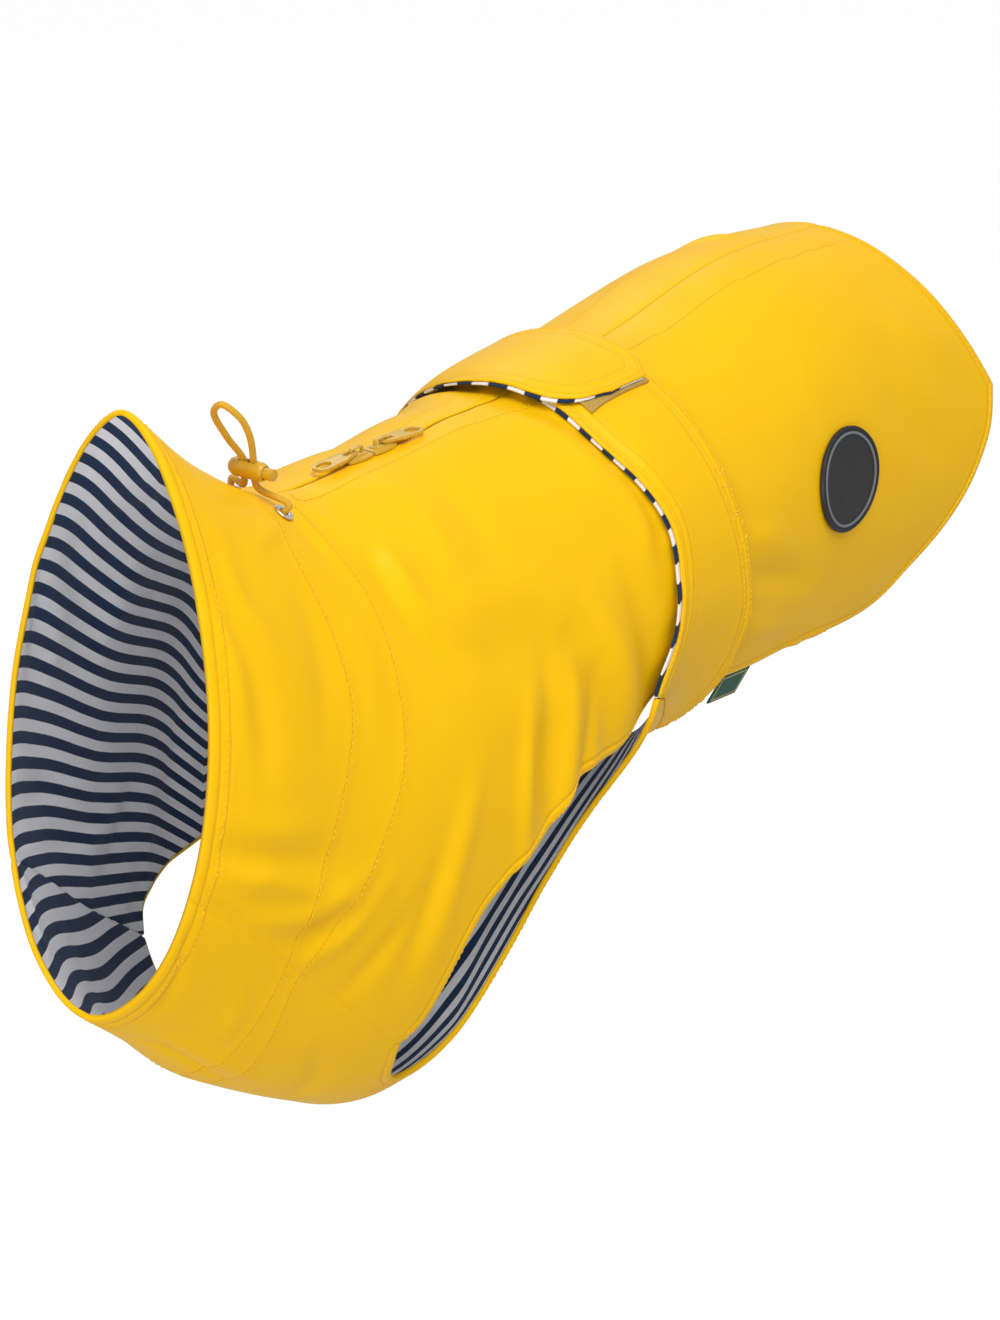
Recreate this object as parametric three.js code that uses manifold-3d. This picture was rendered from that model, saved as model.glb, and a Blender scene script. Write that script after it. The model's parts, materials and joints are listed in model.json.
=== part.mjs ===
// Dog raincoat, filled out as if worn, in millimetres.
// +Z is up, the head end is towards -X, the tail end towards +X and the dog's left side towards -Y.
// The origin lies on the inside of the back at the withers, where the coat rests on the dog.
import * as THREE from 'three';
import { mergeVertices } from 'three/addons/utils/BufferGeometryUtils.js';
import Module from 'manifold-3d';

// Thicknesses and seams
const CLOTH = 1.2;
const LINING = 1.0;
const SEAM = 0.3;
const LINING_DEPTH = CLOTH + SEAM;
const TAPE_DEPTH = LINING_DEPTH + LINING + SEAM;
const SEAM_ANGLE = 0.4;
const BELT_LIFT = 3.2;
const PAD = {
  front: 0.497, rear: 0.574, left: 25.0, right: 3, thickness: 1.0, lift: BELT_LIFT + SEAM + 1.0,
};

// Rings of the body skin, from the collar's rim (u 0) to the end of the back (u 1).
// A ring runs from its top point (on the spine) to its low point, half is its half-width,
// egg and power shape it, bow pushes its sides back and lean moves its top sideways.
const SECTIONS = table('u xTop zTop xLow zLow half egg power bow lean', [
  [0.00, -141, 64, -173, -187, 54, -0.18, 1.12, 3, -4],
  [0.08, -106, 32, -148, -208, 63, -0.03, 1.11, -3, -5],
  [0.16, -60, 7, -118, -235, 69, 0.00, 0.95, 0, -5],
  [0.28, 0, 5, -65, -266, 82, 0.00, 0.86, 0, -4],
  [0.34, 28, 6, -30, -280, 85, 0.02, 0.91, 0, -5],
  [0.40, 55, 8, 9, -268, 88, 0.00, 0.92, 0, -4],
  [0.46, 88, 8, 52, -218, 86, 0.00, 0.90, 0, -5],
  [0.52, 121, 12, 107, -167, 86, 0.01, 0.92, 0, -3],
  [0.62, 172, 15, 172, -169, 86, 0.00, 0.85, 0, -2],
  [0.80, 266, 30, 264, -178, 83, 0.00, 0.85, 0, -1],
  [1.00, 379, 22, 381, -179, 84, 0.04, 1.01, 1, 4],
]);

// Lower edge of a side panel: the chest seam, the leg opening, the flank's hem and the rear corner.
// Angles are degrees round the body from the spine, and scoop hollows the rear hem.
const SIDE = table('step uSpine uEdge angle scoop', [
  [0.0, 0.000, 0.000, 120.0, 0.000],
  [1.0, 0.080, 0.084, 118.0, 0.000],
  [2.0, 0.150, 0.153, 121.0, 0.000],
  [3.0, 0.230, 0.233, 128.5, 0.000],
  [4.0, 0.285, 0.295, 135.0, 0.000],
  [4.6, 0.296, 0.306, 128.2, 0.000],
  [5.3, 0.310, 0.313, 114.5, 0.000],
  [6.0, 0.332, 0.330, 103.5, 0.000],
  [7.0, 0.380, 0.376, 97.0, 0.000],
  [8.0, 0.432, 0.424, 94.5, 0.000],
  [9.0, 0.490, 0.485, 110.0, 0.000],
  [10.0, 0.558, 0.552, 121.0, 0.000],
  [11.0, 0.636, 0.641, 126.5, 0.000],
  [12.0, 0.729, 0.735, 126.0, 0.000],
  [13.0, 0.818, 0.842, 126.5, -0.005],
  [14.0, 0.880, 0.896, 116.5, -0.008],
  [15.0, 0.915, 0.950, 102.0, -0.012],
  [16.0, 0.933, 0.986, 85.0, -0.012],
  [17.0, 0.948, 1.002, 71.5, -0.012],
]);

// Edge of the chest piece: the same chest seam, then the leg opening and the strip under the chest.
// lift is how far the piece stands outside the body skin.
const CHEST = table('step uMiddle uEdge angle lift', [
  [0.0, 0.000, 0.000, 120.0, 0.0],
  [1.0, 0.080, 0.084, 118.0, 0.0],
  [2.0, 0.150, 0.153, 121.0, 0.0],
  [3.0, 0.230, 0.233, 128.5, 0.0],
  [4.0, 0.285, 0.295, 135.0, 0.0],
  [4.6, 0.316, 0.315, 145.5, 0.0],
  [5.3, 0.350, 0.347, 149.0, 0.0],
  [6.2, 0.398, 0.399, 147.5, 0.5],
  [7.2, 0.447, 0.440, 140.5, 1.5],
  [8.2, 0.494, 0.476, 136.0, 2.6],
  [9.2, 0.532, 0.494, 124.0, 3.7],
  [10.0, 0.552, 0.497, 105.0, 3.7],
  [11.0, 0.572, 0.540, 127.0, 3.7],
  [12.0, 0.590, 0.580, 148.0, 3.7],
]);
const STRIP_START = 7.2;
const ARM_SEAM = { first: 10, last: 12 };

// The coat sits a little forward on its right side: how far an edge at a step moves there.
const RIGHT_SHIFT = table('step forward round', [
  [0.0, 0.000, 5.0],
  [1.0, -0.014, 4.5],
  [2.0, -0.023, 2.6],
  [3.0, -0.053, -3.0],
  [4.0, -0.060, -6.3],
  [4.6, -0.066, -6.2],
  [5.3, -0.050, 3.0],
  [6.0, -0.010, 7.0],
  [7.0, -0.004, 10.5],
  [8.0, 0.000, 14.0],
  [9.0, 0.000, 5.0],
  [10.0, 0.000, 1.0],
  [11.0, 0.000, 0.0],
  [17.0, 0.000, 0.0],
]);

// Belt arms: the front and rear edge of each arm from its seam on the chest piece to its tip.
// Angles turn negative past the spine. The right arm's tip laps over the left arm.
const ARM_COLUMNS = 'step uFront front uRear rear lift flare';
const LEFT_ARM = table(ARM_COLUMNS, [
  [0, 0.497, 105, 0.580, 148, 3.7, 3.0],
  [1, 0.507, 94, 0.600, 123, 3.8, 2.8],
  [2, 0.512, 81, 0.609, 102, 3.6, 2.2],
  [3, 0.513, 66, 0.602, 82, 3.3, 1.2],
  [4, 0.502, 49, 0.592, 62, 3.5, 0.4],
  [5, 0.487, 32, 0.585, 42, 3.4, 0.0],
  [6, 0.483, 17, 0.583, 22, 3.2, 0.0],
  [7, 0.483, 4, 0.584, 5, 3.2, 0.0],
  [8, 0.486, -3, 0.584, -3, 3.2, 0.0],
  [9, 0.500, -8, 0.574, -8, 3.2, 0.0],
]);
const RIGHT_ARM = table(ARM_COLUMNS, [
  [0, 0.497, 105, 0.580, 148, 3.7, 3.0],
  [1, 0.507, 94, 0.600, 123, 3.8, 2.8],
  [2, 0.512, 81, 0.609, 102, 3.6, 2.2],
  [3, 0.513, 66, 0.602, 82, 3.3, 1.2],
  [4, 0.502, 49, 0.592, 62, 3.5, 0.4],
  [5, 0.485, 31, 0.590, 42, 3.5, 0.0],
  [6, 0.470, 15, 0.590, 22, 5.3, 0.0],
  [7, 0.468, 0, 0.590, 4, 7.4, 0.0],
  [8, 0.477, -12, 0.588, -10, 7.4, 0.0],
  [9, 0.496, -20, 0.583, -18, 7.4, 0.0],
  [10, 0.526, -24, 0.568, -24, 7.4, 0.0],
]);
const LINING_SHOWS = 0.04;

// Grid steps
const SIDE_COLUMNS = 13;
const CHEST_COLUMNS = 14;
const ARM_COLUMNS_ACROSS = 6;
const SIDE_STEPS = [
  ...steps(0, 4, 10),
  ...steps(4, 6, 6).slice(1),
  ...steps(6, 17, 14).slice(1),
];
const CHEST_STEPS = [
  ...steps(0, 4, 10),
  ...steps(4, 5.3, 4).slice(1),
  ...steps(5.3, ARM_SEAM.first, 8).slice(1),
  ...steps(ARM_SEAM.first, ARM_SEAM.last, ARM_COLUMNS_ACROSS).slice(1),
];
const ARM_STEPS = { left: steps(0, 9, 17), right: steps(0, 10, 19) };

// Zip in the middle of the back, with two sliders back to back
const ZIP = { first: 2.4, last: 8.8, share: 0.7, thickness: 1.2 };
const SLIDER = { u: 0.292, seat: 0.5, apart: 7.6, length: 14, width: 8.6, base: 1.4, crown: 2.2 };
const SLIDER_ENDS = { narrow: 0.7, middle: 1.15, wide: 0.8 };
const CROWN_SHARE = { length: 0.7, width: 0.5 };
const BAIL = { length: 7.6, width: 1.8, height: 3.3, bar: 0.8, corner: 1.2, pivot: 1.4 };
const PULL = { length: 24, width: 8.2, thickness: 1.4, arms: 6.4, armGap: 2.6, tilt: 3 };
const PULL_EYE = { bar: 0.8, flare: 1.4, shoulder: 3, wall: 1.2, side: 1.5, clearance: 0.5 };

// Drawstring at the neck
const EYELET = {
  u: 0.14, left: 16.5, right: 7.5, flange: 4.5, barrel: 2.7, hole: 2.0, clearance: 0.3, rim: 0.9, seat: 0.5,
  through: 0.8, bevel: 0.6, round: 0.4,
};
const CORD_RADIUS = 1.4;
const STOPPER = { x: -76, y: -10, z: 23, radius: 4.0, length: 20, legs: 2.6, slot: 3.5, travel: 2.0 };
const CORD_OUT = 4.5;
const LOOP = table('forward across up', [
  [1.0, -3.8, -7.5],
  [0.0, -2.6, -3.0],
  [0.0, -2.6, 3.0],
  [-5.5, -5.5, 17.0],
  [-11.0, -5.2, 26.0],
  [-16.0, -0.5, 31.5],
  [-15.0, 4.6, 27.0],
  [-8.0, 4.4, 15.0],
  [0.0, 2.6, 3.0],
  [0.0, 2.6, -3.0],
  [1.0, 3.8, -7.5],
]);
const BUTTON = { radius: 2.5, clearance: 0.3, out: 3.2, end: 5.3 };

// Rubber badge on the left flank and woven tag at its hem
const BADGE = {
  u: 0.769, angle: 80, radius: 24, thickness: 2.0, ring: 0.6, ringFrom: 20, ringTo: 22,
  inner: [7, 14], sectors: 28,
};
const TAG = { step: 10.95, width: 23, height: 16, thickness: 1.0, drop: -0.2, lean: 0.5 };

const COLOURS = {
  cloth: { color: 0xf7c60c, roughness: 0.42, metalness: 0 },
  lining: { color: 0xb9bcc6, roughness: 0.9, metalness: 0 },
  trim: { color: 0xe0b020, roughness: 0.5, metalness: 0 },
  metal: { color: 0xc9c9c4, roughness: 0.25, metalness: 1 },
  cord: { color: 0xe3aa12, roughness: 0.8, metalness: 0 },
  badge: { color: 0x17181a, roughness: 0.6, metalness: 0 },
  tag: { color: 0x0c4a3c, roughness: 0.85, metalness: 0 },
};

const wasm = await Module();
wasm.setup();

// Tables and splines

function table(columns, rows) {
  const names = columns.split(' ');
  return rows.map((row) => Object.fromEntries(names.map((name, i) => [name, row[i]])));
}

function steps(from, to, count) {
  return Array.from({ length: count + 1 }, (_, i) => from + (to - from) * i / count);
}

// Smooth value of a table's column at a place along its key column.
function along(rows, key, column, at) {
  const last = rows.length - 2;
  let i = rows.findIndex((row) => row[key] > at) - 1;
  if (i < 0) i = at < rows[0][key] ? 0 : last;
  const slope = (k) => {
    const before = rows[Math.max(k - 1, 0)];
    const after = rows[Math.min(k + 1, rows.length - 1)];
    return (after[column] - before[column]) / (after[key] - before[key]);
  };
  const span = rows[i + 1][key] - rows[i][key];
  const t = (at - rows[i][key]) / span;
  const t2 = t * t;
  const t3 = t2 * t;
  return (2 * t3 - 3 * t2 + 1) * rows[i][column]
    + (t3 - 2 * t2 + t) * span * slope(i)
    + (3 * t2 - 2 * t3) * rows[i + 1][column]
    + (t3 - t2) * span * slope(i + 1);
}

// The chest seam ends in a corner at this step, so an edge is one curve before it and another after.
const SEAM_END = 4;

function edgeAlong(rows, column, step) {
  const corner = rows.findIndex((row) => row.step === SEAM_END);
  const part = step <= SEAM_END ? rows.slice(0, corner + 1) : rows.slice(corner);
  return along(part, 'step', column, step);
}

function edgeShift(side, step) {
  if (side > 0) return { forward: 0, round: 0 };
  return {
    forward: edgeAlong(RIGHT_SHIFT, 'forward', step),
    round: edgeAlong(RIGHT_SHIFT, 'round', step),
  };
}

// The body skin

// Point of the skin at u along the coat and an angle from the spine, positive on the left side.
function skin(u, angle) {
  const at = (column) => along(SECTIONS, 'u', column, u);
  const turn = THREE.MathUtils.degToRad(angle);
  const sine = Math.sin(turn);
  const fall = (1 - Math.cos(turn)) / 2;
  const wide = Math.sign(sine) * Math.abs(sine) ** at('power') * (1 + at('egg') * Math.cos(turn));
  const x = at('xTop') + (at('xLow') - at('xTop')) * fall + at('bow') * sine * sine;
  const y = at('lean') * (1 - fall) - at('half') * wide;
  const z = at('zTop') + (at('zLow') - at('zTop')) * fall;
  return new THREE.Vector3(x, y, z);
}

function frameAt(u, angle) {
  const du = 0.004;
  const dAngle = 1;
  const forward = skin(u + du, angle).sub(skin(u - du, angle)).normalize();
  const around = skin(u, angle + dAngle).sub(skin(u, angle - dAngle)).normalize();
  const normal = new THREE.Vector3().crossVectors(around, forward).normalize();
  return { origin: skin(u, angle), forward, around, normal };
}

// Point at a distance outside the skin.
function lifted(u, angle, lift) {
  const frame = frameAt(u, angle);
  return frame.origin.addScaledVector(frame.normal, lift);
}

// Closed solids

function solid(vertices, faces) {
  const geometry = new THREE.BufferGeometry();
  const flat = vertices.flatMap((v) => [v.x, v.y, v.z]);
  geometry.setAttribute('position', new THREE.Float32BufferAttribute(flat, 3));
  geometry.setIndex(faces);
  geometry.computeVertexNormals();
  return geometry;
}

// Closed sheet from a grid of outer and inner points; turned flips its faces.
function sheet(rows, columns, pointAt, turned) {
  const vertices = [];
  const faces = [];
  const index = (side, i, j) => (side * (rows + 1) + i) * (columns + 1) + j;
  const quad = (a, b, c, d) => {
    const corners = turned ? [a, c, b, a, d, c] : [a, b, c, a, c, d];
    faces.push(...corners);
  };
  for (let side = 0; side < 2; side += 1) {
    for (let i = 0; i <= rows; i += 1) {
      for (let j = 0; j <= columns; j += 1) vertices.push(pointAt(i, j, side));
    }
  }
  for (let i = 0; i < rows; i += 1) {
    for (let j = 0; j < columns; j += 1) {
      quad(index(0, i, j), index(0, i, j + 1), index(0, i + 1, j + 1), index(0, i + 1, j));
      quad(index(1, i, j), index(1, i + 1, j), index(1, i + 1, j + 1), index(1, i, j + 1));
    }
    quad(index(0, i, 0), index(0, i + 1, 0), index(1, i + 1, 0), index(1, i, 0));
    quad(index(0, i, columns), index(1, i, columns), index(1, i + 1, columns), index(0, i + 1, columns));
  }
  for (let j = 0; j < columns; j += 1) {
    quad(index(0, 0, j), index(1, 0, j), index(1, 0, j + 1), index(0, 0, j + 1));
    quad(index(0, rows, j), index(0, rows, j + 1), index(1, rows, j + 1), index(1, rows, j));
  }
  return solid(vertices, faces);
}

function toManifold(geometry) {
  const bare = geometry.clone();
  bare.deleteAttribute('normal');
  bare.deleteAttribute('uv');
  const merged = mergeVertices(bare, 1e-4);
  return new wasm.Manifold(new wasm.Mesh({
    numProp: 3,
    vertProperties: new Float32Array(merged.attributes.position.array),
    triVerts: new Uint32Array(merged.index.array),
  }));
}

function fromManifold(body) {
  const mesh = body.getMesh();
  const geometry = new THREE.BufferGeometry();
  geometry.setAttribute('position', new THREE.Float32BufferAttribute(mesh.vertProperties, 3));
  geometry.setIndex(Array.from(mesh.triVerts));
  geometry.computeVertexNormals();
  return geometry;
}

function cut(geometry, ...tools) {
  const body = tools.reduce((rest, tool) => rest.subtract(toManifold(tool)), toManifold(geometry));
  return fromManifold(body);
}

function join(...geometries) {
  const [first, ...others] = geometries.map(toManifold);
  return fromManifold(others.reduce((sum, next) => sum.add(next), first));
}

const coat = new THREE.Group();

function add(name, geometry, finish, parent = coat) {
  const mesh = new THREE.Mesh(geometry, new THREE.MeshStandardMaterial(COLOURS[finish]));
  mesh.name = name;
  parent.add(mesh);
  return mesh;
}

// Side panels

function sidePoint(side, step, share, depth) {
  const at = (column) => edgeAlong(SIDE, column, step);
  const shift = edgeShift(side, step);
  const scoop = at('scoop') * 4 * share * (1 - share);
  const u = THREE.MathUtils.lerp(at('uSpine'), at('uEdge') + shift.forward, share) + scoop;
  const point = lifted(u, side * (at('angle') + shift.round) * share, -depth);
  point.y -= side * (1 - share) * SEAM / 2;
  return point;
}

function sidePanel(side, depth, thickness) {
  const pointAt = (i, j, face) => sidePoint(side, SIDE_STEPS[i], j / SIDE_COLUMNS, depth + face * thickness);
  return sheet(SIDE_STEPS.length - 1, SIDE_COLUMNS, pointAt, side < 0);
}

function eyeletAngle(side) {
  return side > 0 ? EYELET.left : -EYELET.right;
}

function eyeletFrame(side) {
  const frame = frameAt(EYELET.u, eyeletAngle(side));
  const basis = new THREE.Matrix4().makeBasis(
    frame.forward,
    new THREE.Vector3().crossVectors(frame.normal, frame.forward),
    frame.normal,
  );
  basis.setPosition(frame.origin);
  return basis;
}

function eyeletHole(side) {
  const radius = EYELET.barrel + EYELET.clearance;
  const drill = new THREE.CylinderGeometry(radius, radius, 8 * CLOTH, 16);
  drill.rotateX(Math.PI / 2);
  drill.applyMatrix4(eyeletFrame(side));
  return drill;
}

// Chest piece with the strip between the legs

function armFlare(share) {
  return LEFT_ARM[0].flare * (1 - share) ** 2;
}

function chestPoint(step, across, depth) {
  const at = (column) => edgeAlong(CHEST, column, step);
  const share = Math.abs(across);
  const side = across < 0 ? -1 : 1;
  const shift = edgeShift(side, step);
  const inSeam = Math.max(0, (step - ARM_SEAM.first) / (ARM_SEAM.last - ARM_SEAM.first));
  let uEdge = at('uEdge') + shift.forward;
  let angle = at('angle') + shift.round;
  if (step >= ARM_SEAM.first) {
    uEdge = THREE.MathUtils.lerp(LEFT_ARM[0].uFront, LEFT_ARM[0].uRear, inSeam);
    angle = THREE.MathUtils.lerp(LEFT_ARM[0].front, LEFT_ARM[0].rear, inSeam);
  }
  const rise = THREE.MathUtils.smoothstep(step, STRIP_START, ARM_SEAM.first);
  const flare = armFlare(inSeam) * rise * share * share;
  const sewn = step <= SEAM_END || step >= ARM_SEAM.first ? SEAM_ANGLE : 0;
  const u = THREE.MathUtils.lerp(at('uMiddle'), uEdge, share);
  const turn = THREE.MathUtils.lerp(180, angle + sewn, share);
  return lifted(u, side * turn, at('lift') + flare - depth);
}

function chestPanel(depth, thickness) {
  const pointAt = (i, j, face) => {
    const across = 1 - 2 * j / CHEST_COLUMNS;
    return chestPoint(CHEST_STEPS[i], across, depth + face * thickness);
  };
  return sheet(CHEST_STEPS.length - 1, CHEST_COLUMNS, pointAt, false);
}

// Belt arms

function armPoint(rows, side, step, share, depth) {
  const at = (column) => along(rows, 'step', column, step);
  const u = THREE.MathUtils.lerp(at('uFront'), at('uRear'), share);
  const angle = THREE.MathUtils.lerp(at('front'), at('rear'), share);
  const flare = at('flare') * (1 - share) ** 2;
  return lifted(u, side * angle, at('lift') + flare - depth);
}

function beltArm(rows, stepList, side, from, depth, thickness) {
  const pointAt = (i, j, face) => {
    const share = from + (1 - from) * j / ARM_COLUMNS_ACROSS;
    return armPoint(rows, side, stepList[i], share, depth + face * thickness);
  };
  return sheet(stepList.length - 1, ARM_COLUMNS_ACROSS, pointAt, side < 0);
}

function fastenerPad() {
  const rows = 6;
  const columns = 4;
  const pointAt = (i, j, face) => {
    const angle = THREE.MathUtils.lerp(PAD.left, PAD.right, i / rows);
    const u = THREE.MathUtils.lerp(PAD.front, PAD.rear, j / columns);
    return lifted(u, angle, PAD.lift - face * PAD.thickness);
  };
  return sheet(rows, columns, pointAt, false);
}

// Zip

function zipTape() {
  const stepList = SIDE_STEPS.filter((step) => step >= ZIP.first && step <= ZIP.last);
  const pointAt = (i, j, face) => {
    const side = j === 0 ? 1 : -1;
    const depth = TAPE_DEPTH + face * ZIP.thickness;
    const middle = sidePoint(side, stepList[i], 0, depth);
    if (j === 1) {
      middle.y -= SEAM / 2;
      return middle;
    }
    return middle.lerp(sidePoint(side, stepList[i], 1 / SIDE_COLUMNS, depth), ZIP.share);
  };
  return sheet(stepList.length - 1, 2, pointAt, true);
}

// Frame on the spine, with x towards the tail and z out of the cloth.
function spineGroup(u) {
  const frame = frameAt(u, 0);
  const group = new THREE.Group();
  const across = new THREE.Vector3().crossVectors(frame.normal, frame.forward);
  group.quaternion.setFromRotationMatrix(new THREE.Matrix4().makeBasis(frame.forward, across, frame.normal));
  group.position.copy(frame.origin).addScaledVector(frame.normal, SLIDER.seat);
  return group;
}

function flat(depth, curveSegments) {
  return { depth, bevelEnabled: false, curveSegments };
}

function sliderBody(end) {
  const plate = new THREE.Shape();
  const long = SLIDER.length / 2;
  const wide = SLIDER.width / 2;
  plate.moveTo(-long, -wide * SLIDER_ENDS.narrow);
  plate.quadraticCurveTo(0, -wide * SLIDER_ENDS.middle, long, -wide * SLIDER_ENDS.wide);
  plate.lineTo(long, wide * SLIDER_ENDS.wide);
  plate.quadraticCurveTo(0, wide * SLIDER_ENDS.middle, -long, wide * SLIDER_ENDS.narrow);
  const base = new THREE.ExtrudeGeometry(plate, flat(SLIDER.base, 5));
  const crownLong = SLIDER.length * CROWN_SHARE.length;
  const crown = new THREE.BoxGeometry(crownLong, SLIDER.width * CROWN_SHARE.width, SLIDER.crown);
  crown.translate(0, 0, SLIDER.crown / 2);
  const arch = new THREE.Shape();
  const half = BAIL.length / 2;
  const top = SLIDER.crown + BAIL.height;
  arch.moveTo(-half, SLIDER.base);
  arch.lineTo(-half, top - BAIL.corner);
  arch.quadraticCurveTo(-half, top, -half + BAIL.corner, top);
  arch.lineTo(half - BAIL.corner, top);
  arch.quadraticCurveTo(half, top, half, top - BAIL.corner);
  arch.lineTo(half, SLIDER.base);
  const gap = new THREE.Path();
  gap.moveTo(-half + BAIL.bar, SLIDER.crown);
  gap.lineTo(half - BAIL.bar, SLIDER.crown);
  gap.lineTo(half - BAIL.bar, top - BAIL.bar);
  gap.lineTo(-half + BAIL.bar, top - BAIL.bar);
  arch.holes.push(gap);
  const bail = new THREE.ExtrudeGeometry(arch, flat(BAIL.width, 3));
  bail.rotateX(Math.PI / 2);
  bail.translate(0, BAIL.width / 2, 0);
  const body = join(base, crown, bail);
  if (end > 0) body.rotateZ(Math.PI);
  return body;
}

// Pull tab that lies along its own +X from its crossbar at the origin.
function pullTab() {
  const half = PULL.width / 2;
  const { bar, flare, shoulder, wall } = PULL_EYE;
  const outline = new THREE.Shape();
  outline.moveTo(-bar, -BAIL.width);
  outline.lineTo(PULL.arms, -BAIL.width - flare);
  outline.lineTo(PULL.arms + shoulder, -half);
  outline.lineTo(PULL.length - half, -half);
  outline.absarc(PULL.length - half, 0, half, -Math.PI / 2, Math.PI / 2, false);
  outline.lineTo(PULL.arms + shoulder, half);
  outline.lineTo(PULL.arms, BAIL.width + flare);
  outline.lineTo(-bar, BAIL.width);
  const throat = new THREE.Path();
  throat.moveTo(bar, -PULL.armGap / 2);
  throat.lineTo(bar, PULL.armGap / 2);
  throat.lineTo(PULL.arms, PULL.armGap / 2);
  throat.lineTo(PULL.arms, -PULL.armGap / 2);
  const ring = new THREE.Path();
  ring.absellipse(PULL.length - half - wall, 0, half, half - PULL_EYE.side, 0, Math.PI * 2, true);
  outline.holes.push(throat, ring);
  const tab = new THREE.ExtrudeGeometry(outline, flat(PULL.thickness, 8));
  tab.translate(0, 0, -PULL.thickness / 2);
  return tab;
}

function addSlider(name, end) {
  const seat = spineGroup(SLIDER.u);
  const holder = new THREE.Group();
  holder.position.x = end * SLIDER.apart;
  seat.add(holder);
  coat.add(seat);
  add(`slider_${name}`, sliderBody(end), 'trim', holder);
  const pivot = new THREE.Group();
  pivot.position.set(end * BAIL.pivot, 0, SLIDER.crown + PULL.thickness / 2 + PULL_EYE.clearance);
  pivot.rotation.order = 'ZYX';
  pivot.rotation.z = end < 0 ? Math.PI : 0;
  pivot.rotation.y = THREE.MathUtils.degToRad(PULL.tilt);
  holder.add(pivot);
  add(`pull_${name}`, pullTab(), 'trim', pivot);
}

// Neck drawstring

function eyelet(side) {
  const { flange, barrel, hole, rim, seat, through, bevel, round } = EYELET;
  const foot = -CLOTH * through;
  const profile = [
    [hole, foot], [barrel, foot], [barrel, seat], [flange, seat],
    [flange, seat + rim * round], [flange - bevel, seat + rim], [hole + bevel, seat + rim],
    [hole, seat + rim * round], [hole, foot],
  ].map(([x, y]) => new THREE.Vector2(x, y));
  const ring = new THREE.LatheGeometry(profile, 16);
  ring.rotateX(Math.PI / 2);
  ring.applyMatrix4(eyeletFrame(side));
  return join(ring);
}

// Centre line of the drawstring outside its tunnel, from the left eyelet to the right one.
function cordCurve() {
  const loop = LOOP.map(({ forward, across, up }) => (
    new THREE.Vector3(STOPPER.x + forward, STOPPER.y + across, STOPPER.z + up)
  ));
  const left = new THREE.Vector3().setFromMatrixPosition(eyeletFrame(1));
  const right = new THREE.Vector3().setFromMatrixPosition(eyeletFrame(-1));
  const leftOut = lifted(EYELET.u, eyeletAngle(1), CORD_OUT);
  const rightOut = lifted(EYELET.u, eyeletAngle(-1), CORD_OUT);
  return new THREE.CatmullRomCurve3([left, leftOut, ...loop, rightOut, right], false, 'centripetal');
}

function drawcord() {
  const round = new THREE.Shape();
  round.absarc(0, 0, CORD_RADIUS, 0, Math.PI * 2, false);
  const settings = { steps: 60, curveSegments: 4, bevelEnabled: false, extrudePath: cordCurve() };
  return new THREE.ExtrudeGeometry(round, settings);
}

// Slot for both legs of the cord, along Y and open upwards and downwards.
function slotTool(from, to, width) {
  const tool = new THREE.BoxGeometry(width, to - from, 6 * STOPPER.radius);
  tool.translate(0, (from + to) / 2, 0);
  return tool;
}

function cordStopper() {
  const shell = new THREE.CapsuleGeometry(STOPPER.radius, STOPPER.length - 2 * STOPPER.radius, 5, 18);
  const reach = STOPPER.legs + CORD_RADIUS + SEAM;
  const bore = BUTTON.radius + BUTTON.clearance;
  const deep = BUTTON.end + STOPPER.travel + BUTTON.clearance;
  const drill = new THREE.CylinderGeometry(bore, bore, STOPPER.length, 18);
  drill.translate(0, deep - STOPPER.length / 2, 0);
  const body = cut(shell, drill, slotTool(-reach, reach, STOPPER.slot));
  body.translate(STOPPER.x, STOPPER.y, STOPPER.z);
  return body;
}

function stopperButton() {
  const start = -STOPPER.length / 2 - BUTTON.out;
  const reach = STOPPER.legs + CORD_RADIUS + SEAM;
  const pin = new THREE.CylinderGeometry(BUTTON.radius, BUTTON.radius, BUTTON.end - start, 18);
  pin.translate(0, (BUTTON.end + start) / 2, 0);
  const body = cut(pin, slotTool(-reach - STOPPER.travel, reach, STOPPER.slot));
  body.translate(STOPPER.x, STOPPER.y, STOPPER.z);
  return body;
}

// Badge and tag

// Point near a place on the skin, offset in millimetres along the coat and around it.
function offsetPoint(u, angle, forward, around, lift) {
  const perU = skin(u + 0.01, angle).distanceTo(skin(u - 0.01, angle)) / 0.02;
  const perDegree = skin(u, angle + 1).distanceTo(skin(u, angle - 1)) / 2;
  return lifted(u + forward / perU, angle + around / perDegree, lift);
}

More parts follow.
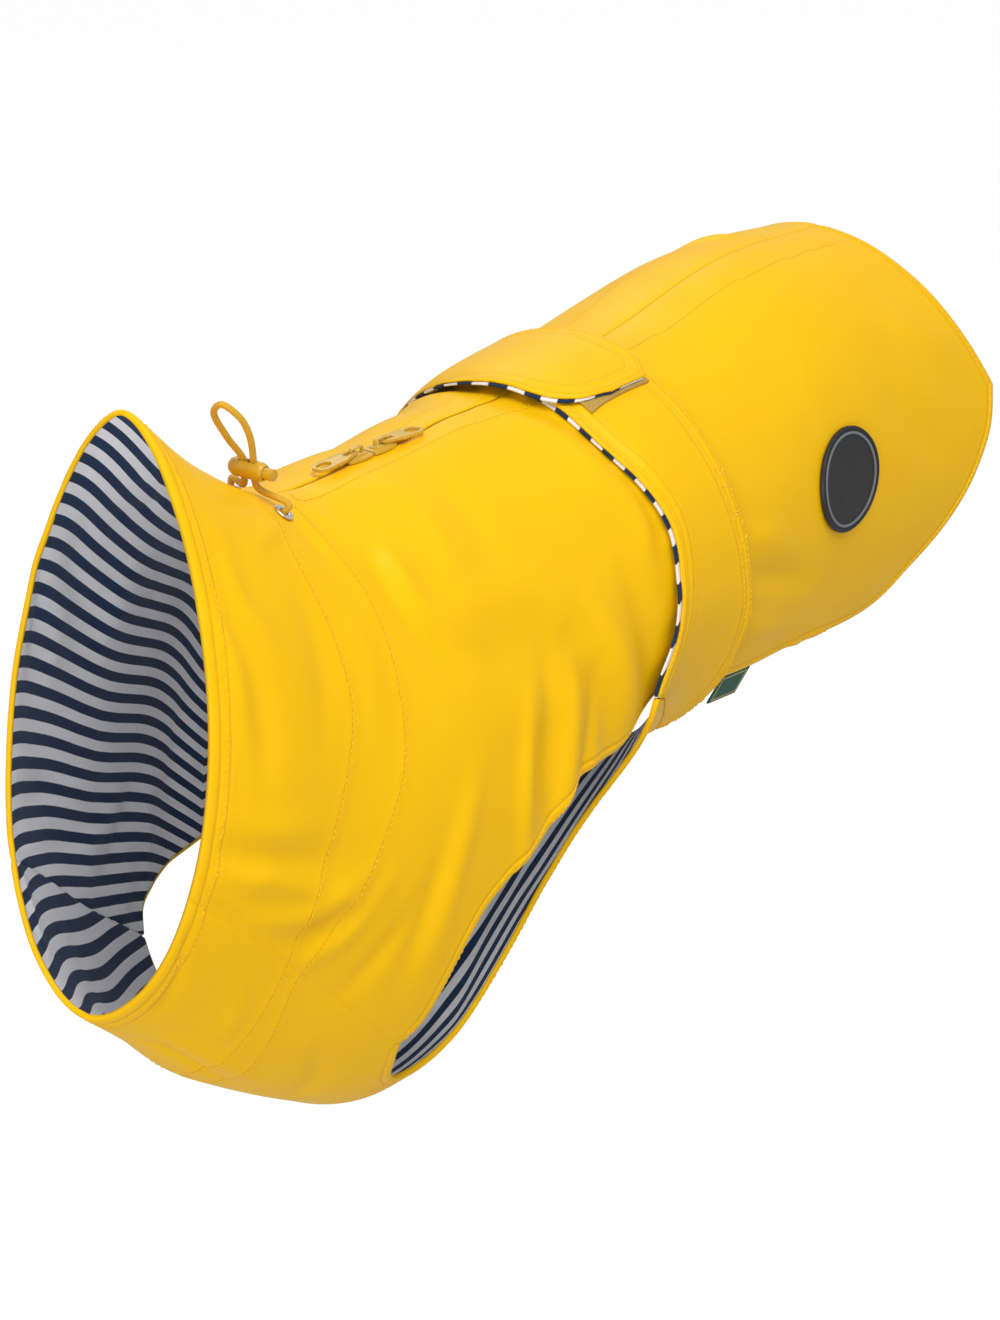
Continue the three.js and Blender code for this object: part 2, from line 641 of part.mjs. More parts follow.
function badge() {
  const rings = [0, ...BADGE.inner, BADGE.ringFrom, BADGE.ringTo, BADGE.radius];
  const { sectors } = BADGE;
  const height = (r) => (r === BADGE.ringFrom || r === BADGE.ringTo ? BADGE.ring : 0);
  const vertices = [];
  const faces = [];
  const index = (face, ring, sector) => {
    const first = face * (1 + sectors * (rings.length - 1));
    return ring === 0 ? first : first + 1 + (ring - 1) * sectors + (sector % sectors);
  };
  for (let face = 0; face < 2; face += 1) {
    rings.forEach((radius, ring) => {
      const count = ring === 0 ? 1 : sectors;
      for (let k = 0; k < count; k += 1) {
        const turn = k / sectors * Math.PI * 2;
        const lift = face ? SEAM : SEAM + BADGE.thickness + height(radius);
        const forward = radius * Math.cos(turn);
        const around = radius * Math.sin(turn);
        vertices.push(offsetPoint(BADGE.u, BADGE.angle, forward, around, lift));
      }
    });
  }
  for (let ring = 0; ring < rings.length - 1; ring += 1) {
    for (let k = 0; k < sectors; k += 1) {
      const a = (face) => index(face, ring, k);
      const b = (face) => index(face, ring + 1, k);
      const c = (face) => index(face, ring + 1, k + 1);
      const d = (face) => index(face, ring, k + 1);
      faces.push(a(0), c(0), b(0), a(1), b(1), c(1));
      if (ring > 0) faces.push(a(0), d(0), c(0), a(1), c(1), d(1));
    }
  }
  const rim = rings.length - 1;
  for (let k = 0; k < sectors; k += 1) {
    faces.push(index(0, rim, k), index(0, rim, k + 1), index(1, rim, k + 1));
    faces.push(index(0, rim, k), index(1, rim, k + 1), index(1, rim, k));
  }
  return solid(vertices, faces);
}

function tag() {
  const middle = sidePoint(1, TAG.step, 1, CLOTH / 2);
  const forward = sidePoint(1, TAG.step + 0.2, 1, CLOTH / 2).sub(middle).normalize();
  const down = new THREE.Vector3(0, TAG.lean, -1).normalize();
  const out = new THREE.Vector3().crossVectors(forward, down).normalize();
  const fall = new THREE.Vector3().crossVectors(out, forward).normalize();
  const slab = new THREE.BoxGeometry(TAG.width, TAG.height, TAG.thickness, 4, 1, 1);
  const basis = new THREE.Matrix4().makeBasis(forward, fall, out);
  basis.setPosition(middle.addScaledVector(fall, TAG.height / 2 + TAG.drop));
  slab.applyMatrix4(basis);
  return slab;
}

// Assembly

const SIDES = [['left', 1], ['right', -1]];
for (const [name, side] of SIDES) {
  add(`side_${name}`, cut(sidePanel(side, 0, CLOTH), eyeletHole(side)), 'cloth');
  add(`lining_${name}`, sidePanel(side, LINING_DEPTH, LINING), 'lining');
  add(`eyelet_${name}`, eyelet(side), 'metal');
  const rows = side > 0 ? LEFT_ARM : RIGHT_ARM;
  add(`arm_${name}`, beltArm(rows, ARM_STEPS[name], side, 0, 0, CLOTH), 'cloth');
  const inner = beltArm(rows, ARM_STEPS[name], side, -LINING_SHOWS, LINING_DEPTH, LINING);
  add(`arm_lining_${name}`, inner, 'lining');
}
add('chest', chestPanel(0, CLOTH), 'cloth');
add('lining_chest', chestPanel(LINING_DEPTH, LINING), 'lining');
add('fastener_pad', fastenerPad(), 'trim');
add('zip_tape', zipTape(), 'trim');
addSlider('front', -1);
addSlider('rear', 1);
add('drawcord', drawcord(), 'cord');
add('cord_stopper', cordStopper(), 'trim');
add('stopper_button', stopperButton(), 'trim');
add('badge', badge(), 'badge');
add('tag', tag(), 'tag');

export default coat;
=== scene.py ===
"""Looks of a filled-out dog raincoat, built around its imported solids.

Tables and sizes are in millimetres and degrees, and Blender's meshes in metres.
A place on the coat is u, from the collar's rim (0) to the end of the back (1), and an angle
round the body from the spine, positive on the dog's left side.
"""
import json
import logging
import math
from dataclasses import dataclass, field
from enum import Enum
from typing import Callable, Dict, List, Optional, Sequence, Tuple

import bpy
import numpy as np
from mathutils import Matrix, Vector
from mathutils.bvhtree import BVHTree
from mathutils.kdtree import KDTree

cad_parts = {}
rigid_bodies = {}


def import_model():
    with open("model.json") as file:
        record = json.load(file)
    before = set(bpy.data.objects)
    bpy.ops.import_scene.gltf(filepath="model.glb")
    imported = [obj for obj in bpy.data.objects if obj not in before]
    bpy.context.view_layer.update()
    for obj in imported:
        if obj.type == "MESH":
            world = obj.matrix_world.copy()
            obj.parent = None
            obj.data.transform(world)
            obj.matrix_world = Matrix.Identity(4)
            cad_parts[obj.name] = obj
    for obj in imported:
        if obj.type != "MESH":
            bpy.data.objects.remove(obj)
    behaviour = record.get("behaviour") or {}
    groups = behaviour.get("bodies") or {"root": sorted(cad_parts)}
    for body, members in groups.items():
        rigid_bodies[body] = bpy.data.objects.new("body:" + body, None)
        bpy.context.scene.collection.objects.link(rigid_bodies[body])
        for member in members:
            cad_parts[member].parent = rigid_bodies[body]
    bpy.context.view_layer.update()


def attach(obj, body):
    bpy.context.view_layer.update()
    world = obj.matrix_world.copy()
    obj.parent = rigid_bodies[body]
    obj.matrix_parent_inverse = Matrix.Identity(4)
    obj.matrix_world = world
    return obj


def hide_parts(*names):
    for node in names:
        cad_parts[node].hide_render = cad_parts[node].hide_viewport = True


LOG = logging.getLogger("raincoat")
MM = 0.001
BODY = "coat"
COAT_LENGTH = 530.0
DEGREE = 1.8
SEAM_END = 4.0
CLOTH = 1.2
LINING = 1.0
SEAM = 0.3
LINING_DEPTH = CLOTH + SEAM
TAPE_DEPTH = LINING_DEPTH + LINING + SEAM
SEAM_ANGLE = 0.4
SEAM_LAP = -0.12
SLIT_OPEN = 0.45
CREASE_GAIN = 1.3
HEM_STITCH = 4.5
RIM_STITCH = 9.0
SEWN_REACH = 1.2
THREAD_REACH = 3.0
PIPING_SHOWS = 0.022
# Millimetres in one step of an edge, near the rim
RIM_STEP = 42.0

Array = np.ndarray


# Stripes of the side linings: factor, then the powers of the lengths along and round, in decimetres.
# Past STRIPE_BEND_END the stripes no longer turn with the length along.
STRIPE_BEND = ((9.8, 1, 0), (91.6, 0, 1), (-48.3, 2, 0), (23.7, 1, 1), (-2.3, 0, 2))
STRIPE_BEND_END = 175.0


class Side(Enum):
    """Side of the dog."""

    LEFT = 1
    RIGHT = -1

    @property
    def word(self) -> str:
        """Name of the side in node names."""
        return self.name.lower()


@dataclass(frozen=True)
class Table:
    """Rows of numbers with named columns, read along the first column as a smooth curve."""

    columns: str
    rows: tuple

    def value(self, column: str, at: Array) -> Array:
        """Smooth value of a column.

        Args:
            column: Name of the column.
            at: Places along the first column.

        Returns:
            The values at those places.
        """
        data = np.array(self.rows, float)
        keys = data[:, 0]
        values = data[:, self.columns.split().index(column)]
        slopes = np.empty(len(keys))
        slopes[1:-1] = (values[2:] - values[:-2]) / (keys[2:] - keys[:-2])
        slopes[0] = (values[1] - values[0]) / (keys[1] - keys[0])
        slopes[-1] = (values[-1] - values[-2]) / (keys[-1] - keys[-2])
        at = np.asarray(at, float)
        i = np.clip(np.searchsorted(keys, at, side="right") - 1, 0, len(keys) - 2)
        span = keys[i + 1] - keys[i]
        t = (at - keys[i]) / span
        t2, t3 = t * t, t * t * t
        return (
            (2 * t3 - 3 * t2 + 1) * values[i]
            + (t3 - 2 * t2 + t) * span * slopes[i]
            + (3 * t2 - 2 * t3) * values[i + 1]
            + (t3 - t2) * span * slopes[i + 1]
        )

    def cornered(self, column: str, step: Array) -> Array:
        """Value of an edge's column, with a corner where the chest seam ends.

        Args:
            column: Name of the column.
            step: Places along the edge.

        Returns:
            The values at those places.
        """
        corner = [row[0] for row in self.rows].index(SEAM_END)
        before = Table(self.columns, self.rows[: corner + 1])
        after = Table(self.columns, self.rows[corner:])
        step = np.asarray(step, float)
        return np.where(step <= SEAM_END, before.value(column, step), after.value(column, step))


SECTIONS = Table("u xTop zTop xLow zLow half egg power bow lean", (
    (0.00, -141, 64, -173, -187, 54, -0.18, 1.12, 3, -4),
    (0.08, -106, 32, -148, -208, 63, -0.03, 1.11, -3, -5),
    (0.16, -60, 7, -118, -235, 69, 0.00, 0.95, 0, -5),
    (0.28, 0, 5, -65, -266, 82, 0.00, 0.86, 0, -4),
    (0.34, 28, 6, -30, -280, 85, 0.02, 0.91, 0, -5),
    (0.40, 55, 8, 9, -268, 88, 0.00, 0.92, 0, -4),
    (0.46, 88, 8, 52, -218, 86, 0.00, 0.90, 0, -5),
    (0.52, 121, 12, 107, -167, 86, 0.01, 0.92, 0, -3),
    (0.62, 172, 15, 172, -169, 86, 0.00, 0.85, 0, -2),
    (0.80, 266, 30, 264, -178, 83, 0.00, 0.85, 0, -1),
    (1.00, 379, 22, 381, -179, 84, 0.04, 1.01, 1, 4),
))
SIDE_EDGE = Table("step uSpine uEdge angle scoop", (
    (0.0, 0.000, 0.000, 120.0, 0.000),
    (1.0, 0.080, 0.084, 118.0, 0.000),
    (2.0, 0.150, 0.153, 121.0, 0.000),
    (3.0, 0.230, 0.233, 128.5, 0.000),
    (4.0, 0.285, 0.295, 135.0, 0.000),
    (4.6, 0.296, 0.306, 128.2, 0.000),
    (5.3, 0.310, 0.313, 114.5, 0.000),
    (6.0, 0.332, 0.330, 103.5, 0.000),
    (7.0, 0.380, 0.376, 97.0, 0.000),
    (8.0, 0.432, 0.424, 94.5, 0.000),
    (9.0, 0.490, 0.485, 110.0, 0.000),
    (10.0, 0.558, 0.552, 121.0, 0.000),
    (11.0, 0.636, 0.641, 126.5, 0.000),
    (12.0, 0.729, 0.735, 126.0, 0.000),
    (13.0, 0.818, 0.842, 126.5, -0.005),
    (14.0, 0.880, 0.896, 116.5, -0.008),
    (15.0, 0.915, 0.950, 102.0, -0.012),
    (16.0, 0.933, 0.986, 85.0, -0.012),
    (17.0, 0.948, 1.002, 71.5, -0.012),
))
CHEST_EDGE = Table("step uMiddle uEdge angle lift", (
    (0.0, 0.000, 0.000, 120.0, 0.0),
    (1.0, 0.080, 0.084, 118.0, 0.0),
    (2.0, 0.150, 0.153, 121.0, 0.0),
    (3.0, 0.230, 0.233, 128.5, 0.0),
    (4.0, 0.285, 0.295, 135.0, 0.0),
    (4.6, 0.316, 0.315, 145.5, 0.0),
    (5.3, 0.350, 0.347, 149.0, 0.0),
    (6.2, 0.398, 0.399, 147.5, 0.5),
    (7.2, 0.447, 0.440, 140.5, 1.5),
    (8.2, 0.494, 0.476, 136.0, 2.6),
    (9.2, 0.532, 0.494, 124.0, 3.7),
    (10.0, 0.552, 0.497, 105.0, 3.7),
    (11.0, 0.572, 0.540, 127.0, 3.7),
    (12.0, 0.590, 0.580, 148.0, 3.7),
))
STRIP_START = 7.2
ARM_FIRST = 10.0
ARM_LAST = 12.0
RIGHT_SHIFT = Table("step forward round", (
    (0.0, 0.000, 5.0),
    (1.0, -0.014, 4.5),
    (2.0, -0.023, 2.6),
    (3.0, -0.053, -3.0),
    (4.0, -0.060, -6.3),
    (4.6, -0.066, -6.2),
    (5.3, -0.050, 3.0),
    (6.0, -0.010, 7.0),
    (7.0, -0.004, 10.5),
    (8.0, 0.000, 14.0),
    (9.0, 0.000, 5.0),
    (10.0, 0.000, 1.0),
    (11.0, 0.000, 0.0),
    (17.0, 0.000, 0.0),
))
ARM_COLUMNS = "step uFront front uRear rear lift flare"
LEFT_ARM = Table(ARM_COLUMNS, (
    (0, 0.497, 105, 0.580, 148, 3.7, 3.0),
    (1, 0.507, 94, 0.600, 123, 3.8, 2.8),
    (2, 0.512, 81, 0.609, 102, 3.6, 2.2),
    (3, 0.513, 66, 0.602, 82, 3.3, 1.2),
    (4, 0.502, 49, 0.592, 62, 3.5, 0.4),
    (5, 0.487, 32, 0.585, 42, 3.4, 0.0),
    (6, 0.483, 17, 0.583, 22, 3.2, 0.0),
    (7, 0.483, 4, 0.584, 5, 3.2, 0.0),
    (8, 0.486, -3, 0.584, -3, 3.2, 0.0),
    (9, 0.500, -8, 0.574, -8, 3.2, 0.0),
))
RIGHT_ARM = Table(ARM_COLUMNS, (
    (0, 0.497, 105, 0.580, 148, 3.7, 3.0),
    (1, 0.507, 94, 0.600, 123, 3.8, 2.8),
    (2, 0.512, 81, 0.609, 102, 3.6, 2.2),
    (3, 0.513, 66, 0.602, 82, 3.3, 1.2),
    (4, 0.502, 49, 0.592, 62, 3.5, 0.4),
    (5, 0.485, 31, 0.590, 42, 3.5, 0.0),
    (6, 0.470, 15, 0.590, 22, 5.3, 0.0),
    (7, 0.468, 0, 0.590, 4, 7.4, 0.0),
    (8, 0.477, -12, 0.588, -10, 7.4, 0.0),
    (9, 0.496, -20, 0.583, -18, 7.4, 0.0),
    (10, 0.526, -24, 0.568, -24, 7.4, 0.0),
))
FRONT_TUNNEL = ((0.122, 0), (0.126, 14), (0.126, 34), (0.143, 53), (0.153, 65), (0.152, 77),
                (0.143, 95), (0.136, 119), (0.140, 150), (0.145, 180))
REAR_TUNNEL = ((0.160, 0), (0.163, 22), (0.185, 43), (0.202, 63), (0.209, 76), (0.203, 86),
               (0.180, 104), (0.152, 121), (0.168, 150), (0.175, 180))
WELT = ((0.178, 3.0), (0.185, 8.5), (0.250, 6.5), (0.330, 5.7), (0.410, 7.0), (0.475, 8.9))
CREASES = (
    # path of (u, angle), half width, height
    (((0.205, 28), (0.220, 36), (0.240, 49), (0.290, 57)), 6.0, 1.7),
    (((0.210, 22), (0.203, 38), (0.228, 52), (0.265, 62)), 7.0, -1.7),
    (((0.262, 12), (0.275, 30), (0.282, 46)), 9.0, 1.1),
    (((0.310, 14), (0.318, 30), (0.330, 42)), 9.0, -1.0),
    (((0.262, 49), (0.329, 48), (0.400, 56), (0.430, 66)), 8.0, 1.3),
    (((0.255, 57), (0.342, 60), (0.405, 66)), 9.0, -1.3),
    (((0.300, 70), (0.345, 72), (0.390, 76)), 8.0, 0.9),
    (((0.030, 110), (0.075, 107), (0.110, 104), (0.180, 103)), 4.5, 1.8),
    (((0.022, 106), (0.082, 101), (0.150, 96)), 5.0, -1.6),
    (((0.040, 98), (0.090, 95), (0.130, 90)), 6.0, 1.0),
    (((0.085, 115), (0.135, 109), (0.190, 97)), 4.0, 1.6),
    (((0.120, 116), (0.150, 112), (0.200, 104)), 4.0, -1.3),
    (((0.150, 119), (0.180, 111), (0.215, 98)), 4.5, 1.5),
    (((0.200, 124), (0.225, 114), (0.245, 104)), 5.0, -1.2),
    (((0.020, 117), (0.060, 116.5), (0.100, 117)), 3.0, -1.0),
    (((0.344, 70), (0.347, 84), (0.362, 100)), 4.5, 2.0),
    (((0.368, 66), (0.374, 82), (0.388, 98)), 6.0, -2.2),
    (((0.402, 70), (0.400, 84), (0.402, 98)), 5.5, 2.0),
    (((0.428, 76), (0.424, 88), (0.420, 99)), 5.0, -1.8),
    (((0.400, 64), (0.438, 82), (0.462, 104)), 5.5, -2.2),
    (((0.428, 60), (0.458, 80), (0.484, 108)), 5.5, 2.4),
    (((0.465, 62), (0.484, 82), (0.500, 106)), 4.5, -2.0),
    (((0.440, 4), (0.452, 18), (0.470, 34), (0.480, 48)), 7.0, 1.5),
    (((0.470, 8), (0.480, 22), (0.492, 36), (0.502, 56), (0.508, 78)), 5.0, -2.0),
    (((0.485, 44), (0.492, 56), (0.496, 66)), 4.0, 1.4),
    (((0.158, 4), (0.170, 12), (0.186, 24)), 3.0, 1.0),
    (((0.146, 20), (0.150, 27), (0.160, 36)), 3.0, -1.0),
    (((0.128, 20), (0.112, 28), (0.082, 38)), 3.5, 1.1),
    (((0.132, 9), (0.110, 12), (0.085, 16)), 3.0, 0.9),
    (((0.124, 15), (0.100, 20), (0.070, 26)), 3.5, -1.0),
    (((0.150, 40), (0.172, 56), (0.178, 72)), 7.0, 0.9),
    (((0.050, 40), (0.056, 54), (0.095, 60)), 7.0, 1.2),
    (((0.012, 60), (0.036, 69), (0.042, 82)), 6.0, 1.2),
    (((0.060, 66), (0.070, 78), (0.072, 90)), 8.0, -1.2),
    (((0.118, 44), (0.128, 58), (0.128, 76)), 6.0, -1.1),
    (((0.267, 92), (0.261, 106), (0.258, 120)), 7.0, -1.5),
    (((0.290, 80), (0.282, 94), (0.280, 112)), 6.5, 1.5),
    (((0.614, 90), (0.652, 95), (0.710, 103)), 7.0, -1.8),
    (((0.612, 78), (0.640, 82), (0.680, 92)), 6.0, 1.4),
    (((0.606, 104), (0.640, 110), (0.690, 116)), 6.0, 1.2),
    (((0.716, 121), (0.745, 128), (0.775, 126)), 4.0, 1.2),
    (((0.600, 24), (0.640, 30), (0.700, 33)), 8.0, 0.8),
    (((0.840, 60), (0.880, 76), (0.930, 88)), 9.0, -1.0),
    (((0.880, 40), (0.920, 52), (0.960, 60)), 9.0, 0.8),
    (((0.820, -22), (0.845, -14), (0.858, -7)), 4.0, 1.6),
    (((0.800, -26), (0.830, -22), (0.860, -19)), 5.0, -1.0),
    (((0.060, 168), (0.128, 163), (0.190, 165)), 3.5, -1.3),
    (((0.080, 158), (0.140, 155), (0.200, 158)), 5.0, 1.0),
    (((0.012, 127), (0.028, 139), (0.034, 152)), 4.5, -1.0),
    (((0.100, 128), (0.115, 138), (0.118, 150)), 5.0, 0.9),
    (((0.215, 140), (0.240, 150), (0.250, 164)), 6.0, -1.1),
    (((0.400, 152), (0.440, 160), (0.500, 166)), 6.0, 1.1),
    (((0.460, 150), (0.500, 156), (0.540, 162)), 5.0, -1.1),
)
MIRROR_SLIDE = 0.012
MIRROR_TURN = 4.0
MIRROR_SHARE = 0.85


def smoothstep(value: Array, low: float, high: float) -> Array:
    """Soft step from 0 at low to 1 at high."""
    t = np.clip((np.asarray(value, float) - low) / (high - low), 0, 1)
    return t * t * (3 - 2 * t)


def dense_path(points: Array, spacing: float) -> Array:
    """Points at an even spacing along a polyline.

    Args:
        points: The polyline's points.
        spacing: Wanted distance between the points.

    Returns:
        The new points, with both ends kept.
    """
    points = np.asarray(points, float)
    lengths = np.concatenate([[0], np.cumsum(np.linalg.norm(np.diff(points, axis=0), axis=1))])
    count = max(2, int(round(lengths[-1] / spacing)) + 1)
    at = np.linspace(0, lengths[-1], count)
    return np.stack([np.interp(at, lengths, points[:, k]) for k in range(points.shape[1])], -1)


def smooth_path(points: Sequence[Sequence[float]], spans: int = 16) -> Array:
    """Centripetal curve through points.

    Args:
        points: Points that the curve passes through.
        spans: Number of steps between two points.

    Returns:
        Points along the curve.
    """
    control = np.asarray(points, float)
    control = np.vstack([2 * control[0] - control[1], control, 2 * control[-1] - control[-2]])
    out = []
    for p0, p1, p2, p3 in zip(control, control[1:], control[2:], control[3:]):
        d0, d1, d2 = (max(np.linalg.norm(b - a) ** 0.5, 1e-6) for a, b in ((p0, p1), (p1, p2), (p2, p3)))
        first = ((p1 - p0) / d0 - (p2 - p0) / (d0 + d1) + (p2 - p1) / d1) * d1
        last = ((p2 - p1) / d1 - (p3 - p1) / (d1 + d2) + (p3 - p2) / d2) * d1
        for t in np.arange(spans) / spans:
            out.append((2 * t ** 3 - 3 * t ** 2 + 1) * p1 + (t ** 3 - 2 * t ** 2 + t) * first
                       + (3 * t ** 2 - 2 * t ** 3) * p2 + (t ** 3 - t ** 2) * last)
    out.append(control[-2])
    return np.array(out)


@dataclass(frozen=True)
class Crease:
    """A soft ridge or trough of the cloth, along a path of u and angle."""

    path: tuple
    width: float
    height: float

    def rise(self, u: Array, angle: Array) -> Array:
        """Height that the crease adds.

        Args:
            u: Places along the coat.
            angle: Angles round the body.

        Returns:
            Heights in millimetres.
        """
        line = smooth_path(self.path, 5) * (COAT_LENGTH, DEGREE)
        x, y = u * COAT_LENGTH, angle * DEGREE
        near = ((x > line[:, 0].min() - 4 * self.width) & (x < line[:, 0].max() + 4 * self.width)
                & (y > line[:, 1].min() - 4 * self.width) & (y < line[:, 1].max() + 4 * self.width))
        out = np.zeros_like(x)
        if not near.any():
            return out
        px, py = x[near], y[near]
        best = np.full(px.shape, np.inf)
        place = np.zeros(px.shape)
        for k in range(len(line) - 1):
            ax, ay = line[k]
            bx, by = line[k + 1] - line[k]
            t = np.clip(((px - ax) * bx + (py - ay) * by) / (bx * bx + by * by), 0, 1)
            gap = (px - ax - t * bx) ** 2 + (py - ay - t * by) ** 2
            closer = gap < best
            best = np.where(closer, gap, best)
            place = np.where(closer, (k + t) / (len(line) - 1), place)
        taper = np.sin(np.pi * np.clip(0.12 + 0.76 * place, 0, 1)) ** 1.2
        out[near] = self.height * taper * np.exp(-best / self.width ** 2)
        return out


@dataclass
class BodySkin:
    """The coat's body surface, with its creases."""

    creases: List[Crease] = field(default_factory=list)
    waves: tuple = ((1.7, 2.3, 0.4, 0.16), (3.1, -2.2, 1.9, 0.12), (5.3, 4.1, 0.8, 0.09),
                    (-4.2, 6.3, 2.6, 0.08), (9.1, 3.7, 3.3, 0.05), (7.7, -9.2, 5.1, 0.05))

    def __post_init__(self) -> None:
        """Adds the hidden side's creases, alike but not equal to those in view."""
        if self.creases:
            return
        for k, (path, width, height) in enumerate(CREASES):
            height *= CREASE_GAIN
            self.creases.append(Crease(path, width, height))
            if path[0][1] < 0:
                continue
            slide = MIRROR_SLIDE * math.sin(2.3 * k)
            turn = MIRROR_TURN * math.cos(1.7 * k)
            mirrored = tuple((u + slide, -angle + turn) for u, angle in path)
            self.creases.append(Crease(mirrored, width, height * MIRROR_SHARE))

    def point(self, u: Array, angle: Array) -> Array:
        """Points of the bare skin.

        Args:
            u: Places along the coat.
            angle: Angles round the body.

        Returns:
            Points in millimetres, with the axes last.
        """
        turn = np.radians(angle)
        sine, cosine = np.sin(turn), np.cos(turn)
        at = {name: SECTIONS.value(name, u) for name in SECTIONS.columns.split()[1:]}
        fall = (1 - cosine) / 2
        wide = np.sign(sine) * np.abs(sine) ** at["power"] * (1 + at["egg"] * cosine)
        x = at["xTop"] + (at["xLow"] - at["xTop"]) * fall + at["bow"] * sine * sine
        y = at["lean"] * (1 - fall) - at["half"] * wide
        z = at["zTop"] + (at["zLow"] - at["zTop"]) * fall
        return np.stack([x, y, z], -1)

    def frame(self, u: Array, angle: Array) -> Tuple[Array, Array]:
        """Directions of the skin.

        Args:
            u: Places along the coat.
            angle: Angles round the body.

        Returns:
            Unit vectors along the coat and out of it.
        """
        forward = self.point(u + 0.004, angle) - self.point(u - 0.004, angle)
        around = self.point(u, angle + 1) - self.point(u, angle - 1)
        normal = np.cross(around, forward)
        forward /= np.linalg.norm(forward, axis=-1, keepdims=True)
        normal /= np.linalg.norm(normal, axis=-1, keepdims=True)
        return forward, normal

    def relief(self, u: Array, angle: Array) -> Array:
        """Height of all creases.

        Args:
            u: Places along the coat.
            angle: Angles round the body.

        Returns:
            Heights in millimetres.
        """
        u, angle = np.broadcast_arrays(np.asarray(u, float), np.asarray(angle, float))
        height = np.zeros(u.shape)
        for crease in self.creases:
            height += crease.rise(u, angle)
        for along, around, phase, size in self.waves:
            height += size * np.sin(2 * math.pi * (along * u + around * angle / 180) + phase)
        return height

    def lifted(self, u: Array, angle: Array, lift: Array) -> Array:
        """Points at a distance outside the creased skin.

        Args:
            u: Places along the coat.
            angle: Angles round the body.
            lift: Distances in millimetres.

        Returns:
            Points in millimetres.
        """
        u, angle = np.broadcast_arrays(np.asarray(u, float), np.asarray(angle, float))
        _, normal = self.frame(u, angle)
        height = self.relief(u, angle) + lift
        return self.point(u, angle) + normal * height[..., None]

    def near(self, u: float, angle: float, along: Array, around: Array, lift: Array) -> Array:
        """Points beside a place on the skin.

        Args:
            u: Place along the coat.
            angle: Angle round the body.
            along: Offsets towards the tail.
            around: Offsets round the body.
            lift: Distances outside the skin.

        Returns:
            Points in millimetres.
        """
        here = np.array([u, u]) + (-0.01, 0.01)
        per_u = np.linalg.norm(np.diff(self.point(here, np.full(2, angle)), axis=0)) / 0.02
        turn = np.array([angle - 1, angle + 1])
        per_degree = np.linalg.norm(np.diff(self.point(np.full(2, u), turn), axis=0)) / 2
        return self.lifted(u + along / per_u, angle + around / per_degree, lift)


SKIN = BodySkin()


class Line:
    """A seam, edge or row of stitches, as closely spaced points with their directions."""

    def __init__(self, points: Array, spacing: float = 0.4) -> None:
        """Samples the line.

        Args:
            points: The line's points.
            spacing: Distance between the samples.
        """
        self.points = dense_path(points, spacing)
        self.tangents = np.gradient(self.points, axis=0)
        self.tangents /= np.linalg.norm(self.tangents, axis=1, keepdims=True) + 1e-9
        self.tree = KDTree(len(self.points))
        for k, point in enumerate(self.points):
            self.tree.insert(point, k)
        self.tree.balance()

    def distance(self, points: Array, normals: Optional[Array] = None) -> Array:
        """Distance of points from the line.

        Args:
            points: Points, with the axes last.
            normals: Surface normals there, which give the distance a sign.

        Returns:
            Distances, negative on the line's right side where normals are given.
        """
        flat = points.reshape(-1, 3)
        found = [self.tree.find(point) for point in flat]
        gap = np.array([row[2] for row in found])
        if normals is not None:
            index = np.array([row[1] for row in found])
            away = flat - self.points[index]
            across = np.cross(self.tangents[index], away)
            gap = gap * np.where((across * normals.reshape(-1, 3)).sum(-1) < 0, -1, 1)
        return gap.reshape(points.shape[:-1])


def join_object(name: str, vertices: Array, faces: Sequence, attributes: Dict[str, Array],
                uv: Optional[Array] = None) -> bpy.types.Object:
    """Makes a mesh object.

    Args:
        name: Name of the piece.
        vertices: Points in millimetres.
        faces: Corner indices of each face.
        attributes: Values for each vertex, by name.
        uv: Two coordinates for each vertex.

    Returns:
        The new object, with smooth faces that point outwards.
    """
    mesh = bpy.data.meshes.new(name)
    faces = np.asarray(faces)
    a, b, c = (vertices[faces[:, k]] for k in range(3))
    volume = (a * np.cross(b, c)).sum()
    if faces.shape[1] == 4:
        d = vertices[faces[:, 3]]
        volume += (a * np.cross(c, d)).sum()
    if volume < 0:
        faces = faces[:, ::-1]
    mesh.from_pydata((vertices * MM).tolist(), [], faces.tolist())
    mesh.polygons.foreach_set("use_smooth", np.ones(len(mesh.polygons), bool))
    for key, values in attributes.items():
        layer = mesh.attributes.new(key, "FLOAT", "POINT")
        layer.data.foreach_set("value", values.ravel().astype(np.float32))
    if uv is not None:
        corners = np.empty(len(mesh.loops), int)
        mesh.loops.foreach_get("vertex_index", corners)
        layer = mesh.uv_layers.new(name="flat")
        layer.data.foreach_set("uv", uv[corners].astype(np.float32).ravel())
    mesh.update()
    thing = bpy.data.objects.new(name, mesh)
    bpy.context.scene.collection.objects.link(thing)
    return thing


